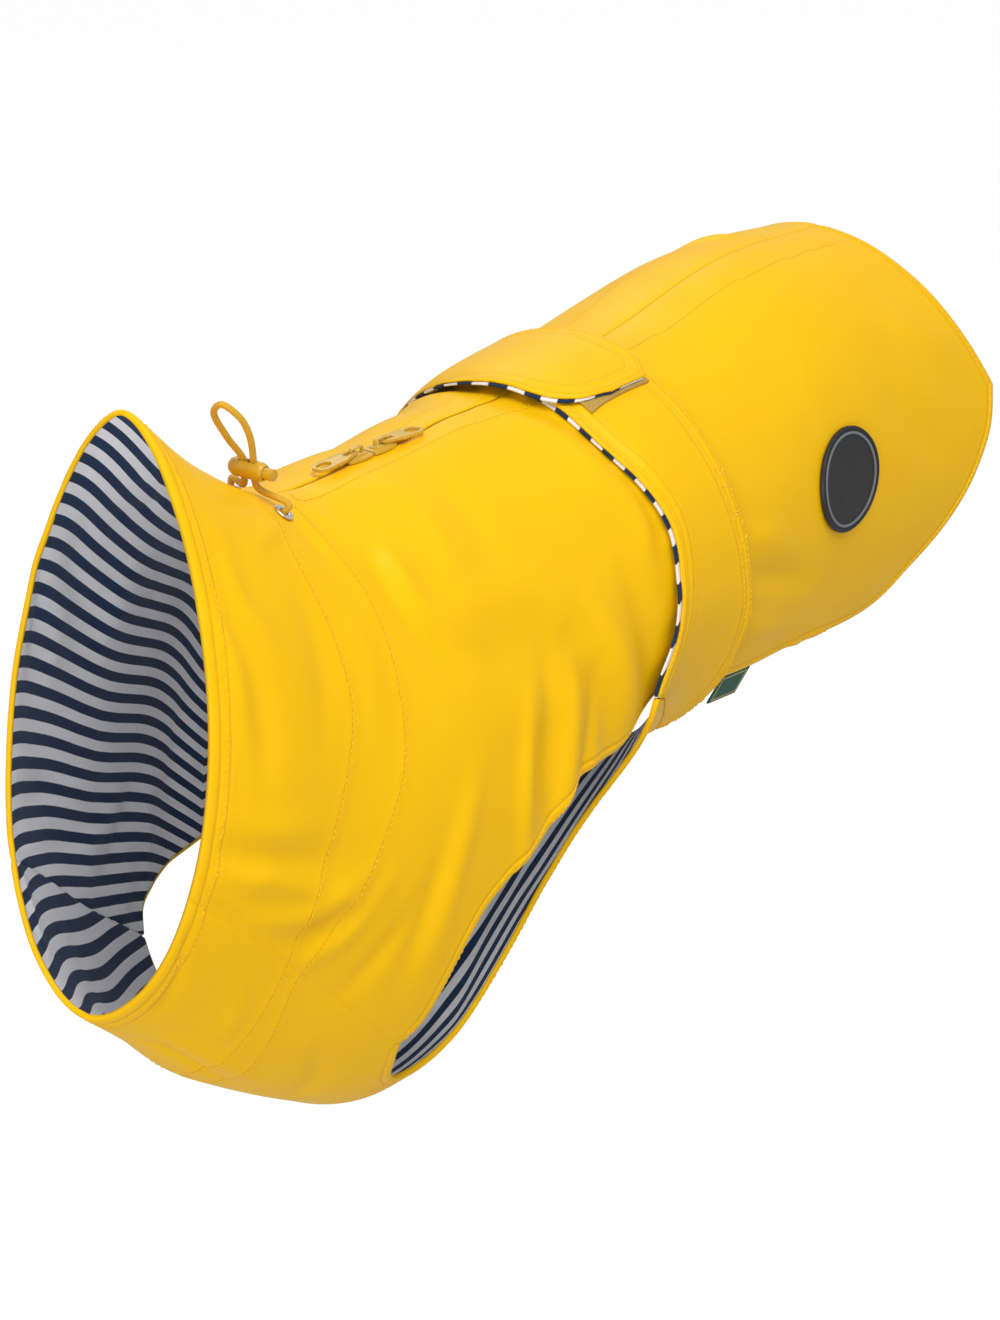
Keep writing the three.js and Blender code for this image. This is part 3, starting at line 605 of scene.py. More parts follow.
@dataclass
class Sheet:
    """A thin closed shell from a grid of places on the coat."""

    name: str
    u: Array
    angle: Array
    lift: Array
    thickness: float
    shift: Array
    rolled: Tuple[str, ...] = ()
    free: Optional[slice] = None
    roll_depth: float = 2.6
    dip: Optional[Array] = None
    lines: Dict[str, Array] = field(default_factory=dict)
    uv: Optional[Array] = None

    def surface(self, lift: Array) -> Array:
        """Points of the sheet at a lift."""
        points = SKIN.lifted(self.u, self.angle, lift)
        points[..., 1] += self.shift
        return points

    def border(self, which: str, points: Array) -> Array:
        """Points of one border: first, last, start or end."""
        free = points if self.free is None else points[self.free]
        return {"first": points[0], "last": points[-1], "start": free[:, 0], "end": free[:, -1]}[which]

    def build(self) -> bpy.types.Object:
        """Makes the shell, with rolled edges and its distances to lines as attributes.

        Returns:
            The new object.
        """
        plain = self.surface(self.lift)
        normal = np.cross(np.gradient(plain, axis=0), np.gradient(plain, axis=1))
        normal /= np.linalg.norm(normal, axis=-1, keepdims=True) + 1e-9
        _, out = SKIN.frame(self.u, self.angle)
        normal *= np.sign((normal * out).sum(-1, keepdims=True))
        edge = np.full(self.u.shape, 99.0)
        for which in self.rolled:
            edge = np.minimum(edge, Line(self.border(which, plain)).distance(plain))
        lift = self.lift - 0.6 * np.clip(1 - edge / 1.0, 0, 1) ** 2
        lift = lift + 0.22 * np.exp(-((edge - 2.4) / 1.5) ** 2)
        lift = lift - 0.28 * np.exp(-((edge - HEM_STITCH) / 0.8) ** 2)
        if self.dip is not None:
            lift = lift - self.dip
        drop = np.where(edge < 1.3, self.roll_depth, self.thickness)
        attributes = {"edge": np.minimum(edge, 30.0)}
        for key, points in self.lines.items():
            attributes[key] = np.clip(Line(points).distance(plain, normal), -30, 30)
        outer = self.surface(lift)
        inner = self.surface(self.lift - drop)
        rows, columns = self.u.shape
        index = np.arange(rows * columns).reshape(rows, columns)
        low = index + rows * columns
        faces = [
            np.stack([index[:-1, :-1], index[:-1, 1:], index[1:, 1:], index[1:, :-1]], -1).reshape(-1, 4),
            np.stack([low[:-1, :-1], low[1:, :-1], low[1:, 1:], low[:-1, 1:]], -1).reshape(-1, 4),
            np.stack([index[:-1, 0], index[1:, 0], low[1:, 0], low[:-1, 0]], -1),
            np.stack([index[:-1, -1], low[:-1, -1], low[1:, -1], index[1:, -1]], -1),
            np.stack([index[0, :-1], low[0, :-1], low[0, 1:], index[0, 1:]], -1),
            np.stack([index[-1, :-1], index[-1, 1:], low[-1, 1:], low[-1, :-1]], -1),
        ]
        both = {key: np.concatenate([values.ravel()] * 2) for key, values in attributes.items()}
        uv = None if self.uv is None else np.concatenate([self.uv.reshape(-1, 2)] * 2)
        vertices = np.concatenate([outer.reshape(-1, 3), inner.reshape(-1, 3)])
        thing = join_object(self.name, vertices, np.concatenate(faces), both, uv)
        self.tree = BVHTree.FromPolygons(outer.reshape(-1, 3).tolist(), faces[0].tolist())
        self.plain = plain
        self.area = self.layer_area(outer)
        return thing

    @staticmethod
    def layer_area(points: Array) -> float:
        """Area of a grid of points, in square metres."""
        a = points[1:, 1:] - points[:-1, :-1]
        b = points[1:, :-1] - points[:-1, 1:]
        return float(np.linalg.norm(np.cross(a, b), axis=-1).sum() / 2) * MM * MM

    def spans(self) -> Tuple[float, float]:
        """Greatest width and length of the sheet, in metres."""
        across = np.linalg.norm(np.diff(self.plain, axis=1), axis=-1).sum(1).max()
        along = np.linalg.norm(np.diff(self.plain, axis=0), axis=-1).sum(0).max()
        return float(across) * MM, float(along) * MM


def spaced(total: Array, near: Sequence[float], far: Sequence[float], middle: int) -> Array:
    """Shares from 0 to 1 that are close together near both ends.

    Args:
        total: Width of each row in millimetres.
        near: Distances from the start.
        far: Distances from the end, smallest first.
        middle: Number of even steps between.

    Returns:
        One row of shares for each width.
    """
    total = np.asarray(total, float)[:, None]
    head = np.array(near)[None] / total
    tail = 1 - np.array(far)[None, ::-1] / total
    t = np.arange(1, middle) / middle
    body = head[:, -1:] + (tail[:, :1] - head[:, -1:]) * t[None]
    return np.concatenate([head, body, tail], 1)


EDGE_ROWS = (0.0, 0.3, 0.7, 1.2, 1.8, 2.6, 3.5, 4.1, 4.5, 4.9, 5.5, 6.5, 8.0)
SEAM_ROWS = (0.0, 0.4, 0.9, 1.6, 2.6, 4.0)
RIM_ROWS = (0.0, 0.3, 0.7, 1.2, 1.8, 2.6, 3.5, 4.5, 5.5, 6.8, 8.0, 8.6, 9.0, 9.4, 10.0, 11.2, 13.0)


def side_places(side: Side, steps: Array, share: Array) -> Tuple[Array, Array]:
    """Places of a side panel.

    Args:
        side: Side of the dog.
        steps: Step of each row.
        share: Share from the spine to the edge, a row of shares for each step.

    Returns:
        The values of u and the angles.
    """
    rows = np.asarray(steps, float)[:, None]
    forward = RIGHT_SHIFT.cornered("forward", rows) if side is Side.RIGHT else 0.0
    turn = RIGHT_SHIFT.cornered("round", rows) if side is Side.RIGHT else 0.0
    scoop = SIDE_EDGE.cornered("scoop", rows) * 4 * share * (1 - share)
    spine = SIDE_EDGE.cornered("uSpine", rows)
    u = spine + (SIDE_EDGE.cornered("uEdge", rows) + forward - spine) * share + scoop
    return u, side.value * (SIDE_EDGE.cornered("angle", rows) + turn) * share


def chest_places(steps: Array, across: Array) -> Tuple[Array, Array, Array]:
    """Places of the chest piece.

    Args:
        steps: Step of each row.
        across: From 1 at the left edge to -1 at the right edge, a row for each step.

    Returns:
        The values of u, the angles and the lifts.
    """
    rows = np.asarray(steps, float)[:, None]
    share = np.abs(across)
    right = across < 0
    in_seam = np.clip((rows - ARM_FIRST) / (ARM_LAST - ARM_FIRST), 0, 1)
    edge = CHEST_EDGE.cornered("uEdge", rows) + np.where(right, RIGHT_SHIFT.cornered("forward", rows), 0)
    angle = CHEST_EDGE.cornered("angle", rows) + np.where(right, RIGHT_SHIFT.cornered("round", rows), 0)
    at_arm = rows >= ARM_FIRST
    first = {name: LEFT_ARM.rows[0][k] for k, name in enumerate(ARM_COLUMNS.split())}
    edge = np.where(at_arm, first["uFront"] + (first["uRear"] - first["uFront"]) * in_seam, edge)
    angle = np.where(at_arm, first["front"] + (first["rear"] - first["front"]) * in_seam, angle)
    rise = smoothstep(rows, STRIP_START, ARM_FIRST)
    flare = first["flare"] * (1 - in_seam) ** 2 * rise * share * share
    sewn = np.where(at_arm, SEAM_ANGLE, np.where(rows <= SEAM_END, SEAM_LAP, 0.0))
    middle = CHEST_EDGE.cornered("uMiddle", rows)
    u = middle + (edge - middle) * share
    turn = 180 + (angle + sewn - 180) * share
    lift = CHEST_EDGE.cornered("lift", rows) + flare
    return u, np.where(right, -1, 1) * turn, lift + 0 * turn


def arm_places(rows: Table, side: Side, steps: Array, share: Array) -> Tuple[Array, Array, Array]:
    """Places of a belt arm.

    Args:
        rows: The arm's table.
        side: Side of the dog.
        steps: Step of each row.
        share: Share from the front edge to the rear edge.

    Returns:
        The values of u, the angles and the lifts.
    """
    at = np.asarray(steps, float)[:, None]
    u = rows.value("uFront", at) + (rows.value("uRear", at) - rows.value("uFront", at)) * share
    angle = rows.value("front", at) + (rows.value("rear", at) - rows.value("front", at)) * share
    lift = rows.value("lift", at) + rows.value("flare", at) * (1 - share) ** 2
    return u, side.value * angle, lift + 0 * angle


def arc_around(u: Array, angle: Array) -> Array:
    """Signed length round the body from the spine, at each place.

    Args:
        u: Places along the coat.
        angle: Angles round the body.

    Returns:
        Lengths in millimetres.
    """
    turns = np.arange(0, 181, 4.0)
    stations = np.linspace(0, 1, 41)
    grid = SKIN.point(stations[:, None], turns[None])
    steps = np.linalg.norm(np.diff(grid, axis=1), axis=-1)
    length = np.concatenate([np.zeros((len(stations), 1)), np.cumsum(steps, axis=1)], 1)
    place = np.clip(np.asarray(u, float), 0, 1) * (len(stations) - 1)
    i = np.clip(place.astype(int), 0, len(stations) - 2)
    t = place - i
    turn = np.clip(np.abs(angle), 0, 180) / 4.0
    j = np.clip(turn.astype(int), 0, len(turns) - 2)
    s = turn - j
    low = length[i, j] * (1 - s) + length[i, j + 1] * s
    high = length[i + 1, j] * (1 - s) + length[i + 1, j + 1] * s
    return np.sign(angle) * (low * (1 - t) + high * t)


class Graph:
    """Short way to write the nodes of a material or a group."""

    def __init__(self, tree: bpy.types.NodeTree) -> None:
        """Keeps the tree."""
        self.tree = tree

    def put(self, socket: bpy.types.NodeSocket, value: object) -> None:
        """Links an output to a socket, or sets the socket's value."""
        if isinstance(value, bpy.types.NodeSocket):
            self.tree.links.new(value, socket)
        elif isinstance(value, bpy.types.Node):
            self.tree.links.new(value.outputs[0], socket)
        else:
            socket.default_value = value

    def node(self, kind: str, settings: Optional[dict] = None, **inputs: object) -> bpy.types.Node:
        """Adds a node.

        Args:
            kind: The node's type, without its ShaderNode prefix.
            settings: Properties of the node.
            **inputs: Values or links, by socket name with underscores for spaces.

        Returns:
            The new node.
        """
        made = self.tree.nodes.new("ShaderNode" + kind)
        for key, value in (settings or {}).items():
            setattr(made, key, value)
        for key, value in inputs.items():
            name = int(key[1:]) if key[0] == "n" and key[1:].isdigit() else key.replace("_", " ")
            self.put(made.inputs[name], value)
        return made

    def math(self, operation: str, *values: object) -> bpy.types.NodeSocket:
        """Output of a Math node with those inputs."""
        inputs = {f"n{k}": value for k, value in enumerate(values)}
        return self.node("Math", {"operation": operation}, **inputs).outputs[0]

    def mix(self, share: object, first: object, second: object) -> bpy.types.NodeSocket:
        """Colour between two colours."""
        made = self.node("Mix", {"data_type": "RGBA"})
        for socket, value in ((0, share), (6, first), (7, second)):
            self.put(made.inputs[socket], value)
        return made.outputs[2]

    def attribute(self, name: str) -> bpy.types.NodeSocket:
        """Value of a mesh attribute."""
        return self.node("Attribute", {"attribute_name": name}).outputs["Fac"]

    def ramp(self, value: object, low: float, high: float, to_low: float = 0.0,
             to_high: float = 1.0) -> bpy.types.NodeSocket:
        """Soft ramp of a value between two ends."""
        settings = {"interpolation_type": "SMOOTHSTEP"}
        made = self.node("MapRange", settings, n0=value, n1=low, n2=high, n3=to_low, n4=to_high)
        return made.outputs[0]

    def group(self, made: bpy.types.NodeTree, **inputs: object) -> bpy.types.Node:
        """Places a node group with its values."""
        placed = self.tree.nodes.new("ShaderNodeGroup")
        placed.node_tree = made
        for key, value in inputs.items():
            self.put(placed.inputs[key.replace("_", " ")], value)
        return placed


def new_group(name: str, inputs: Dict[str, Tuple[str, object]], outputs: Dict[str, str]) -> Tuple:
    """Starts a shader node group.

    Args:
        name: Name of the group.
        inputs: Socket kind and default value, by name.
        outputs: Socket kind, by name.

    Returns:
        The group, its graph, its input node and its output node.
    """
    made = bpy.data.node_groups.new(name, "ShaderNodeTree")
    for key, (kind, value) in inputs.items():
        socket = made.interface.new_socket(key, in_out="INPUT", socket_type="NodeSocket" + kind)
        socket.default_value = value
    for key, kind in outputs.items():
        made.interface.new_socket(key, in_out="OUTPUT", socket_type="NodeSocket" + kind)
    graph = Graph(made)
    return made, graph, made.nodes.new("NodeGroupInput"), made.nodes.new("NodeGroupOutput")


@dataclass
class Effects:
    """Node groups that several finishes share."""

    groups: Dict[str, bpy.types.NodeTree] = field(default_factory=dict)

    def grain(self) -> bpy.types.NodeTree:
        """Fine and broad unevenness of a surface, as a height and a mask.

        Returns:
            The group.
        """
        if "grain" in self.groups:
            return self.groups["grain"]
        inputs = {"Scale": ("Float", 1500.0), "Fine": ("Float", 1.0), "Broad": ("Float", 1.0)}
        made, g, start, end = new_group("cloth grain", inputs, {"Height": "Float", "Mask": "Float"})
        place = g.node("TexCoord").outputs["Object"]
        fine = g.node("TexNoise", Vector=place, Scale=start.outputs["Scale"], Detail=3.0).outputs[0]
        broad = g.node("TexNoise", Vector=place, Scale=38.0, Detail=2.0, Roughness=0.45).outputs[0]
        height = g.math("ADD", g.math("MULTIPLY", fine, start.outputs["Fine"]),
                        g.math("MULTIPLY", broad, start.outputs["Broad"]))
        g.put(end.inputs["Height"], height)
        g.put(end.inputs["Mask"], broad)
        self.groups["grain"] = made
        return made

    def groove(self) -> bpy.types.NodeTree:
        """A sewn line's groove and the small puckers beside it.

        Returns:
            The group, which puts out a height in millimetres and a mask.
        """
        if "groove" in self.groups:
            return self.groups["groove"]
        inputs = {"Distance": ("Float", 0.0), "Place": ("Float", 0.0), "Width": ("Float", 0.7),
                  "Depth": ("Float", 0.3), "Pucker": ("Float", 0.1)}
        made, g, start, end = new_group("sewn groove", inputs, {"Height": "Float", "Mask": "Float"})
        away = g.math("ABSOLUTE", g.math("SUBTRACT", start.outputs["Distance"], start.outputs["Place"]))
        line = g.ramp(g.math("DIVIDE", away, start.outputs["Width"]), 0.0, 1.0, 1.0, 0.0)
        band = g.ramp(away, 0.6, 5.5, 1.0, 0.0)
        place = g.node("TexCoord").outputs["Object"]
        pucker = g.node("TexNoise", Vector=place, Scale=230.0, Detail=1.0).outputs[0]
        soft = g.math("MULTIPLY", g.math("MULTIPLY", band, start.outputs["Pucker"]), pucker)
        height = g.math("SUBTRACT", soft, g.math("MULTIPLY", line, start.outputs["Depth"]))
        g.put(end.inputs["Height"], height)
        g.put(end.inputs["Mask"], line)
        self.groups["groove"] = made
        return made

    def weave(self) -> bpy.types.NodeTree:
        """Crossing threads on the piece's own flat coordinates in millimetres.

        Returns:
            The group.
        """
        if "weave" in self.groups:
            return self.groups["weave"]
        inputs = {"Pitch": ("Float", 0.6)}
        made, g, start, end = new_group("woven threads", inputs, {"Height": "Float"})
        uv = g.node("UVMap", {"uv_map": "flat"}).outputs[0]
        split = g.node("SeparateXYZ", Vector=uv)
        waves = []
        for axis in range(2):
            turn = g.math("MULTIPLY", g.math("DIVIDE", split.outputs[axis], start.outputs["Pitch"]), math.pi)
            waves.append(g.math("ABSOLUTE", g.math("SINE", turn)))
        g.put(end.inputs["Height"], g.math("MULTIPLY", waves[0], waves[1]))
        self.groups["weave"] = made
        return made


EFFECTS = Effects()


def new_material(name: str) -> Tuple[bpy.types.Material, Graph, bpy.types.Node]:
    """Starts a material.

    Args:
        name: Name of the finish.

    Returns:
        The material, its graph and its Principled shader.
    """
    made = bpy.data.materials.new(name)
    made.use_nodes = True
    made.node_tree.nodes.clear()
    graph = Graph(made.node_tree)
    shader = graph.node("BsdfPrincipled")
    end = graph.node("OutputMaterial")
    made.node_tree.links.new(shader.outputs[0], end.inputs[0])
    return made, graph, shader


def bump(graph: Graph, shader: bpy.types.Node, height: object, distance: float) -> None:
    """Gives a shader relief from a height.

    Args:
        graph: The material's graph.
        shader: The Principled shader.
        height: The height's output.
        distance: Metres for each unit of height.
    """
    made = graph.node("Bump", Strength=1.0, Distance=distance, Height=height)
    graph.put(shader.inputs["Normal"], made.outputs[0])


@dataclass(frozen=True)
class CoatedCloth:
    """Smooth coated rain cloth."""

    name: str
    colour: Tuple[float, float, float, float]
    deep: Tuple[float, float, float, float]
    roughness: float = 0.4
    grooves: Tuple[Tuple[str, float, float], ...] = ()

    def make(self) -> bpy.types.Material:
        """Builds the material.

        Returns:
            The material.
        """
        made, g, shader = new_material(self.name)
        grain = g.group(EFFECTS.grain(), Scale=2600.0, Fine=0.012, Broad=0.25)
        height = grain.outputs["Height"]
        sewn: object = 0.0
        for attribute, place, depth in self.grooves:
            line = g.group(EFFECTS.groove(), Distance=g.attribute(attribute), Place=place, Width=0.8,
                           Depth=depth, Pucker=0.35)
            height = g.math("ADD", height, line.outputs["Height"])
            sewn = g.math("MAXIMUM", sewn, line.outputs["Mask"])
        shade = g.math("MULTIPLY", grain.outputs["Mask"], 0.25)
        base = g.mix(shade, self.colour, self.deep)
        # Painted shade: the colour darkens towards the deep colour along the sewn grooves, partly as the
        # thread's darker line and partly as shade in the groove.
        g.put(shader.inputs["Base Color"], g.mix(g.math("MULTIPLY", sewn, 0.35), base, self.deep))
        g.put(shader.inputs["Roughness"], g.ramp(grain.outputs["Mask"], 0.2, 0.8, self.roughness - 0.04,
                                                 self.roughness + 0.05))
        shader.inputs["Specular IOR Level"].default_value = 0.13
        bump(g, shader, height, MM)
        return made


@dataclass(frozen=True)
class StripedLining:
    """Light cotton with woven stripes across its flat coordinates."""

    name: str
    light: Tuple[float, float, float, float] = (0.90, 0.90, 0.93, 1)
    dark: Tuple[float, float, float, float] = (0.006, 0.028, 0.085, 1)
    period: float = 9.5

    def make(self) -> bpy.types.Material:
        """Builds the material.

        Returns:
            The material.
        """
        made, g, shader = new_material(self.name)
        stripe = g.attribute("stripe")
        wave = g.math("SINE", g.math("MULTIPLY", stripe, 2 * math.pi / self.period))
        mask = g.ramp(wave, -0.12, 0.12)
        weave = g.group(EFFECTS.weave(), Pitch=0.55).outputs[0]
        grain = g.group(EFFECTS.grain(), Scale=1800.0, Fine=0.06, Broad=0.5)
        tone = g.mix(g.math("MULTIPLY", grain.outputs["Mask"], 0.3), self.light, (0.82, 0.82, 0.87, 1))
        g.put(shader.inputs["Base Color"], g.mix(mask, tone, self.dark))
        shader.inputs["Roughness"].default_value = 0.85
        shader.inputs["Specular IOR Level"].default_value = 0.25
        shader.inputs["Sheen Weight"].default_value = 0.1
        height = g.math("ADD", g.math("MULTIPLY", weave, 0.1), grain.outputs["Height"])
        bump(g, shader, height, MM)
        return made


@dataclass(frozen=True)
class Moulded:
    """Moulded plastic, rubber or painted metal."""

    name: str
    colour: Tuple[float, float, float, float]
    roughness: float
    metallic: float = 0.0
    coat: float = 0.0
    fine: float = 0.02
    scale: float = 3000.0

    def make(self) -> bpy.types.Material:
        """Builds the material.

        Returns:
            The material.
        """
        made, g, shader = new_material(self.name)
        grain = g.group(EFFECTS.grain(), Scale=self.scale, Fine=self.fine, Broad=0.05)
        worn = tuple(min(1.0, part * 1.12 + 0.004) for part in self.colour[:3]) + (1,)
        g.put(shader.inputs["Base Color"], g.mix(grain.outputs["Mask"], self.colour, worn))
        g.put(shader.inputs["Roughness"], g.ramp(grain.outputs["Mask"], 0.2, 0.8, self.roughness * 0.85,
                                                 self.roughness * 1.15))
        shader.inputs["Metallic"].default_value = self.metallic
        shader.inputs["Coat Weight"].default_value = self.coat
        bump(g, shader, grain.outputs["Height"], MM)
        return made


@dataclass(frozen=True)
class Braid:
    """Round braided cord, with its strands on the tube's own coordinates."""

    name: str
    colour: Tuple[float, float, float, float]
    deep: Tuple[float, float, float, float]

    def make(self) -> bpy.types.Material:
        """Builds the material.

        Returns:
            The material.
        """
        made, g, shader = new_material(self.name)
        strand = g.attribute("strand")
        grain = g.group(EFFECTS.grain(), Scale=5200.0, Fine=0.08, Broad=0.0)
        # Painted shade: the colour darkens to the deep colour in the hollows between the strands, where the
        # strand value is low.
        g.put(shader.inputs["Base Color"], g.mix(g.ramp(strand, 0.1, 0.8), self.deep, self.colour))
        shader.inputs["Roughness"].default_value = 0.7
        shader.inputs["Sheen Weight"].default_value = 0.15
        bump(g, shader, grain.outputs["Height"], MM)
        return made


@dataclass(frozen=True)
class WovenTrim:
    """Woven tape, label or loop pad."""

    name: str
    colour: Tuple[float, float, float, float]
    deep: Tuple[float, float, float, float]
    pitch: float = 0.7
    depth: float = 0.2
    fuzz: float = 0.1

    def make(self) -> bpy.types.Material:
        """Builds the material.

        Returns:
            The material.
        """
        made, g, shader = new_material(self.name)
        weave = g.group(EFFECTS.weave(), Pitch=self.pitch).outputs[0]
        grain = g.group(EFFECTS.grain(), Scale=1400.0, Fine=self.fuzz, Broad=0.1)
        # Painted shade: the colour darkens to the deep colour in the hollows between the threads, where the
        # weave is low.
        g.put(shader.inputs["Base Color"], g.mix(weave, self.deep, self.colour))
        shader.inputs["Roughness"].default_value = 0.85
        shader.inputs["Sheen Weight"].default_value = 0.2
        height = g.math("ADD", g.math("MULTIPLY", weave, self.depth), grain.outputs["Height"])
        bump(g, shader, height, MM)
        return made


@dataclass(frozen=True)
class BorderedLabel:
    """Green woven label with a thin gold border inside its edges."""

    name: str
    half: Tuple[float, float]
    green: Tuple[float, float, float, float] = (0.006, 0.10, 0.055, 1)
    gold: Tuple[float, float, float, float] = (0.52, 0.42, 0.14, 1)

    def make(self) -> bpy.types.Material:
        """Builds the material.

        Returns:
            The material.
        """
        made, g, shader = new_material(self.name)
        split = g.node("SeparateXYZ", Vector=g.node("UVMap", {"uv_map": "flat"}).outputs[0])
        gaps = [g.math("SUBTRACT", size, g.math("ABSOLUTE", split.outputs[k]))
                for k, size in enumerate(self.half)]
        gap = g.math("MINIMUM", *gaps)
        band = g.math("MULTIPLY", g.ramp(gap, 1.1, 1.3), g.ramp(gap, 2.0, 2.2, 1.0, 0.0))
        weave = g.group(EFFECTS.weave(), Pitch=0.35).outputs[0]
        g.put(shader.inputs["Base Color"], g.mix(band, self.green, self.gold))
        shader.inputs["Roughness"].default_value = 0.85
        shader.inputs["Sheen Weight"].default_value = 0.1
        bump(g, shader, g.math("MULTIPLY", weave, 0.12), MM)
        return made


@dataclass
class Finishes:
    """All finishes of the coat."""

    yellow: Tuple[float, float, float, float] = (0.97, 0.56, 0.003, 1)
    # amber is the cloth's random deeper tone and also the painted shade along its sewn grooves.
    amber: Tuple[float, float, float, float] = (0.84, 0.38, 0.001, 1)

    def __post_init__(self) -> None:
        """Builds the materials."""
        side_lines = (("edge", HEM_STITCH, 0.16), ("rim", RIM_STITCH, 0.16), ("front_tunnel", 0.0, 0.16),
                      ("rear_tunnel", 0.0, 0.16), ("welt", 0.0, 0.16))
        chest_lines = side_lines[:-1]
        arm_lines = (("edge", 2.2, 0.14), ("edge", 8.0, 0.16))
        self.panel = CoatedCloth("coated panel", self.yellow, self.amber, grooves=side_lines).make()
        self.chest = CoatedCloth("coated chest", self.yellow, self.amber, grooves=chest_lines).make()
        self.arm = CoatedCloth("coated belt", self.yellow, self.amber, grooves=arm_lines).make()
        self.lining = StripedLining("striped lining").make()
        self.thread = Moulded("sewing thread", (0.90, 0.52, 0.01, 1), 0.6, scale=4000.0).make()
        # The second colours of the pad and the tape are painted shade between their threads.
        self.pad = WovenTrim("loop pad", (0.85, 0.62, 0.12, 1), (0.62, 0.36, 0.02, 1), 0.9, 0.5, 0.7).make()
        self.tape = WovenTrim("zip tape", (0.70, 0.40, 0.01, 1), (0.40, 0.20, 0.004, 1), 0.5, 0.2, 0.1).make()
        self.paint = Moulded("painted zip metal", (0.62, 0.38, 0.03, 1), 0.33, coat=0.3).make()
        self.teeth = Moulded("zip teeth", (0.50, 0.28, 0.01, 1), 0.4).make()
        self.steel = Moulded("bright eyelet", (0.78, 0.78, 0.76, 1), 0.2, metallic=1.0, fine=0.005).make()
        # The cord's second colour is painted shade between its strands.
        self.cord = Braid("braided cord", (0.72, 0.40, 0.012, 1), (0.34, 0.15, 0.002, 1)).make()
        self.plastic = Moulded("cord stopper", (0.60, 0.33, 0.01, 1), 0.35, coat=0.2, fine=0.01).make()
        self.rubber = Moulded("badge rubber", (0.012, 0.012, 0.014, 1), 0.5, fine=0.03, scale=2000.0).make()
        self.print = Moulded("badge print", (0.16, 0.17, 0.18, 1), 0.55, fine=0.03, scale=2000.0).make()


def declare(thing: bpy.types.Object, finish: bpy.types.Material, nodes: Sequence[str] = (),
            body: str = BODY) -> bpy.types.Object:
    """Gives a piece its finish and its place in the frame.

    Args:
        thing: The piece.
        finish: Its material.
        nodes: Solids that it stands for.
        body: Body that it rides on.

    Returns:
        The same piece.
    """
    if not thing.data.materials:
        thing.data.materials.append(finish)
    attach(thing, body)
    if nodes:
        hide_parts(*nodes)
    LOG.info("%s: %d faces", thing.name, len(thing.data.polygons))
    return thing


@dataclass
class Stitching:
    """Rows of thread stitches, gathered in one mesh."""

    name: str
    pitch: float = 3.0
    length: float = 2.1
    radius: float = 0.24
    sides: int = 6
    vertices: List[Array] = field(default_factory=list)
    faces: List[Array] = field(default_factory=list)

    def row(self, points: Array, sheet: Sheet, skip: Optional[Callable[[Array], Array]] = None) -> None:
        """Sews along a path on a sheet.

        Args:
            points: The path.
            sheet: The sheet that carries the stitches.
            skip: Test that marks the places left without a stitch.
        """
        path = dense_path(points, self.pitch)
        middles = (path[1:] + path[:-1]) / 2
        for middle, step in zip(middles, np.diff(path, axis=0)):
            if skip is not None and skip(middle):
                continue
            place, normal, _, gap = sheet.tree.find_nearest(middle.tolist())
            if place is None or gap > THREAD_REACH:
                continue
            self.stitch(np.array(place), np.array(normal), step / (np.linalg.norm(step) + 1e-9))

    def stitch(self, middle: Array, normal: Array, along: Array) -> None:
        """Adds one stitch.

        Args:
            middle: Its middle on the cloth.
            normal: The cloth's normal.
            along: Its direction.
        """
        along = along - normal * (along @ normal)
        along /= np.linalg.norm(along) + 1e-9
        across = np.cross(normal, along)
        rings = ((-0.5, 0.45, -0.12), (-0.36, 0.95, 0.06), (0.0, 1.0, 0.16), (0.36, 0.95, 0.06),
                 (0.5, 0.45, -0.12))
        start = sum(len(part) for part in self.vertices)
        turns = np.arange(self.sides) * 2 * math.pi / self.sides
        circle = np.cos(turns)[:, None] * across + np.sin(turns)[:, None] * normal
        part = [middle + along * t * self.length + normal * rise + circle * self.radius * wide
                for t, wide, rise in rings]
        ends = [middle + along * t * self.length * 1.06 - normal * 0.14 for t in (-0.5, 0.5)]
        self.vertices.append(np.vstack(part + [np.array(ends)]))
        count = self.sides
        k = np.arange(count)
        k1 = (k + 1) % count
        for ring in range(len(rings) - 1):
            a, b = start + ring * count, start + (ring + 1) * count
            self.faces.append(np.stack([a + k, b + k, b + k1, a + k1], -1))
        tip = start + len(rings) * count
        last = start + (len(rings) - 1) * count
        self.faces.append(np.stack([start + k, start + k1, np.full(count, tip), np.full(count, tip)], -1))
        end = np.full(count, tip + 1)
        self.faces.append(np.stack([last + k1, last + k, end, end], -1))

    def build(self, finish: bpy.types.Material) -> bpy.types.Object:
        """Makes the piece.

        Args:
            finish: The thread's material.

        Returns:
            The new object.
        """
        vertices = np.vstack(self.vertices)
        mesh = bpy.data.meshes.new(self.name)
        faces = [tuple(dict.fromkeys(face)) for face in np.concatenate(self.faces).tolist()]
        mesh.from_pydata((vertices * MM).tolist(), [], faces)
        mesh.polygons.foreach_set("use_smooth", np.ones(len(mesh.polygons), bool))
        mesh.update()
        thing = bpy.data.objects.new(self.name, mesh)
        bpy.context.scene.collection.objects.link(thing)
        return declare(thing, finish)


def inset_line(sheet: Sheet, border: Array, inset: float) -> Array:
    """Path on a sheet at a distance inside its border.

    Args:
        sheet: The sheet.
        border: Points of the border.
        inset: Distance from the border.

    Returns:
        Points of the path.
    """
    line = dense_path(border, 1.5)
    centre = sheet.plain.reshape(-1, 3).mean(0)
    tangents = np.gradient(line, axis=0)
    out = []
    for point, tangent in zip(line, tangents):
        _, normal, _, _ = sheet.tree.find_nearest(point.tolist())
        inward = np.cross(np.array(normal), tangent)
        inward /= np.linalg.norm(inward) + 1e-9
        if inward @ (centre - point) < 0:
            inward = -inward
        place, _, _, _ = sheet.tree.find_nearest((point + inward * inset).tolist())
        out.append(np.array(place))
    return np.array(out)


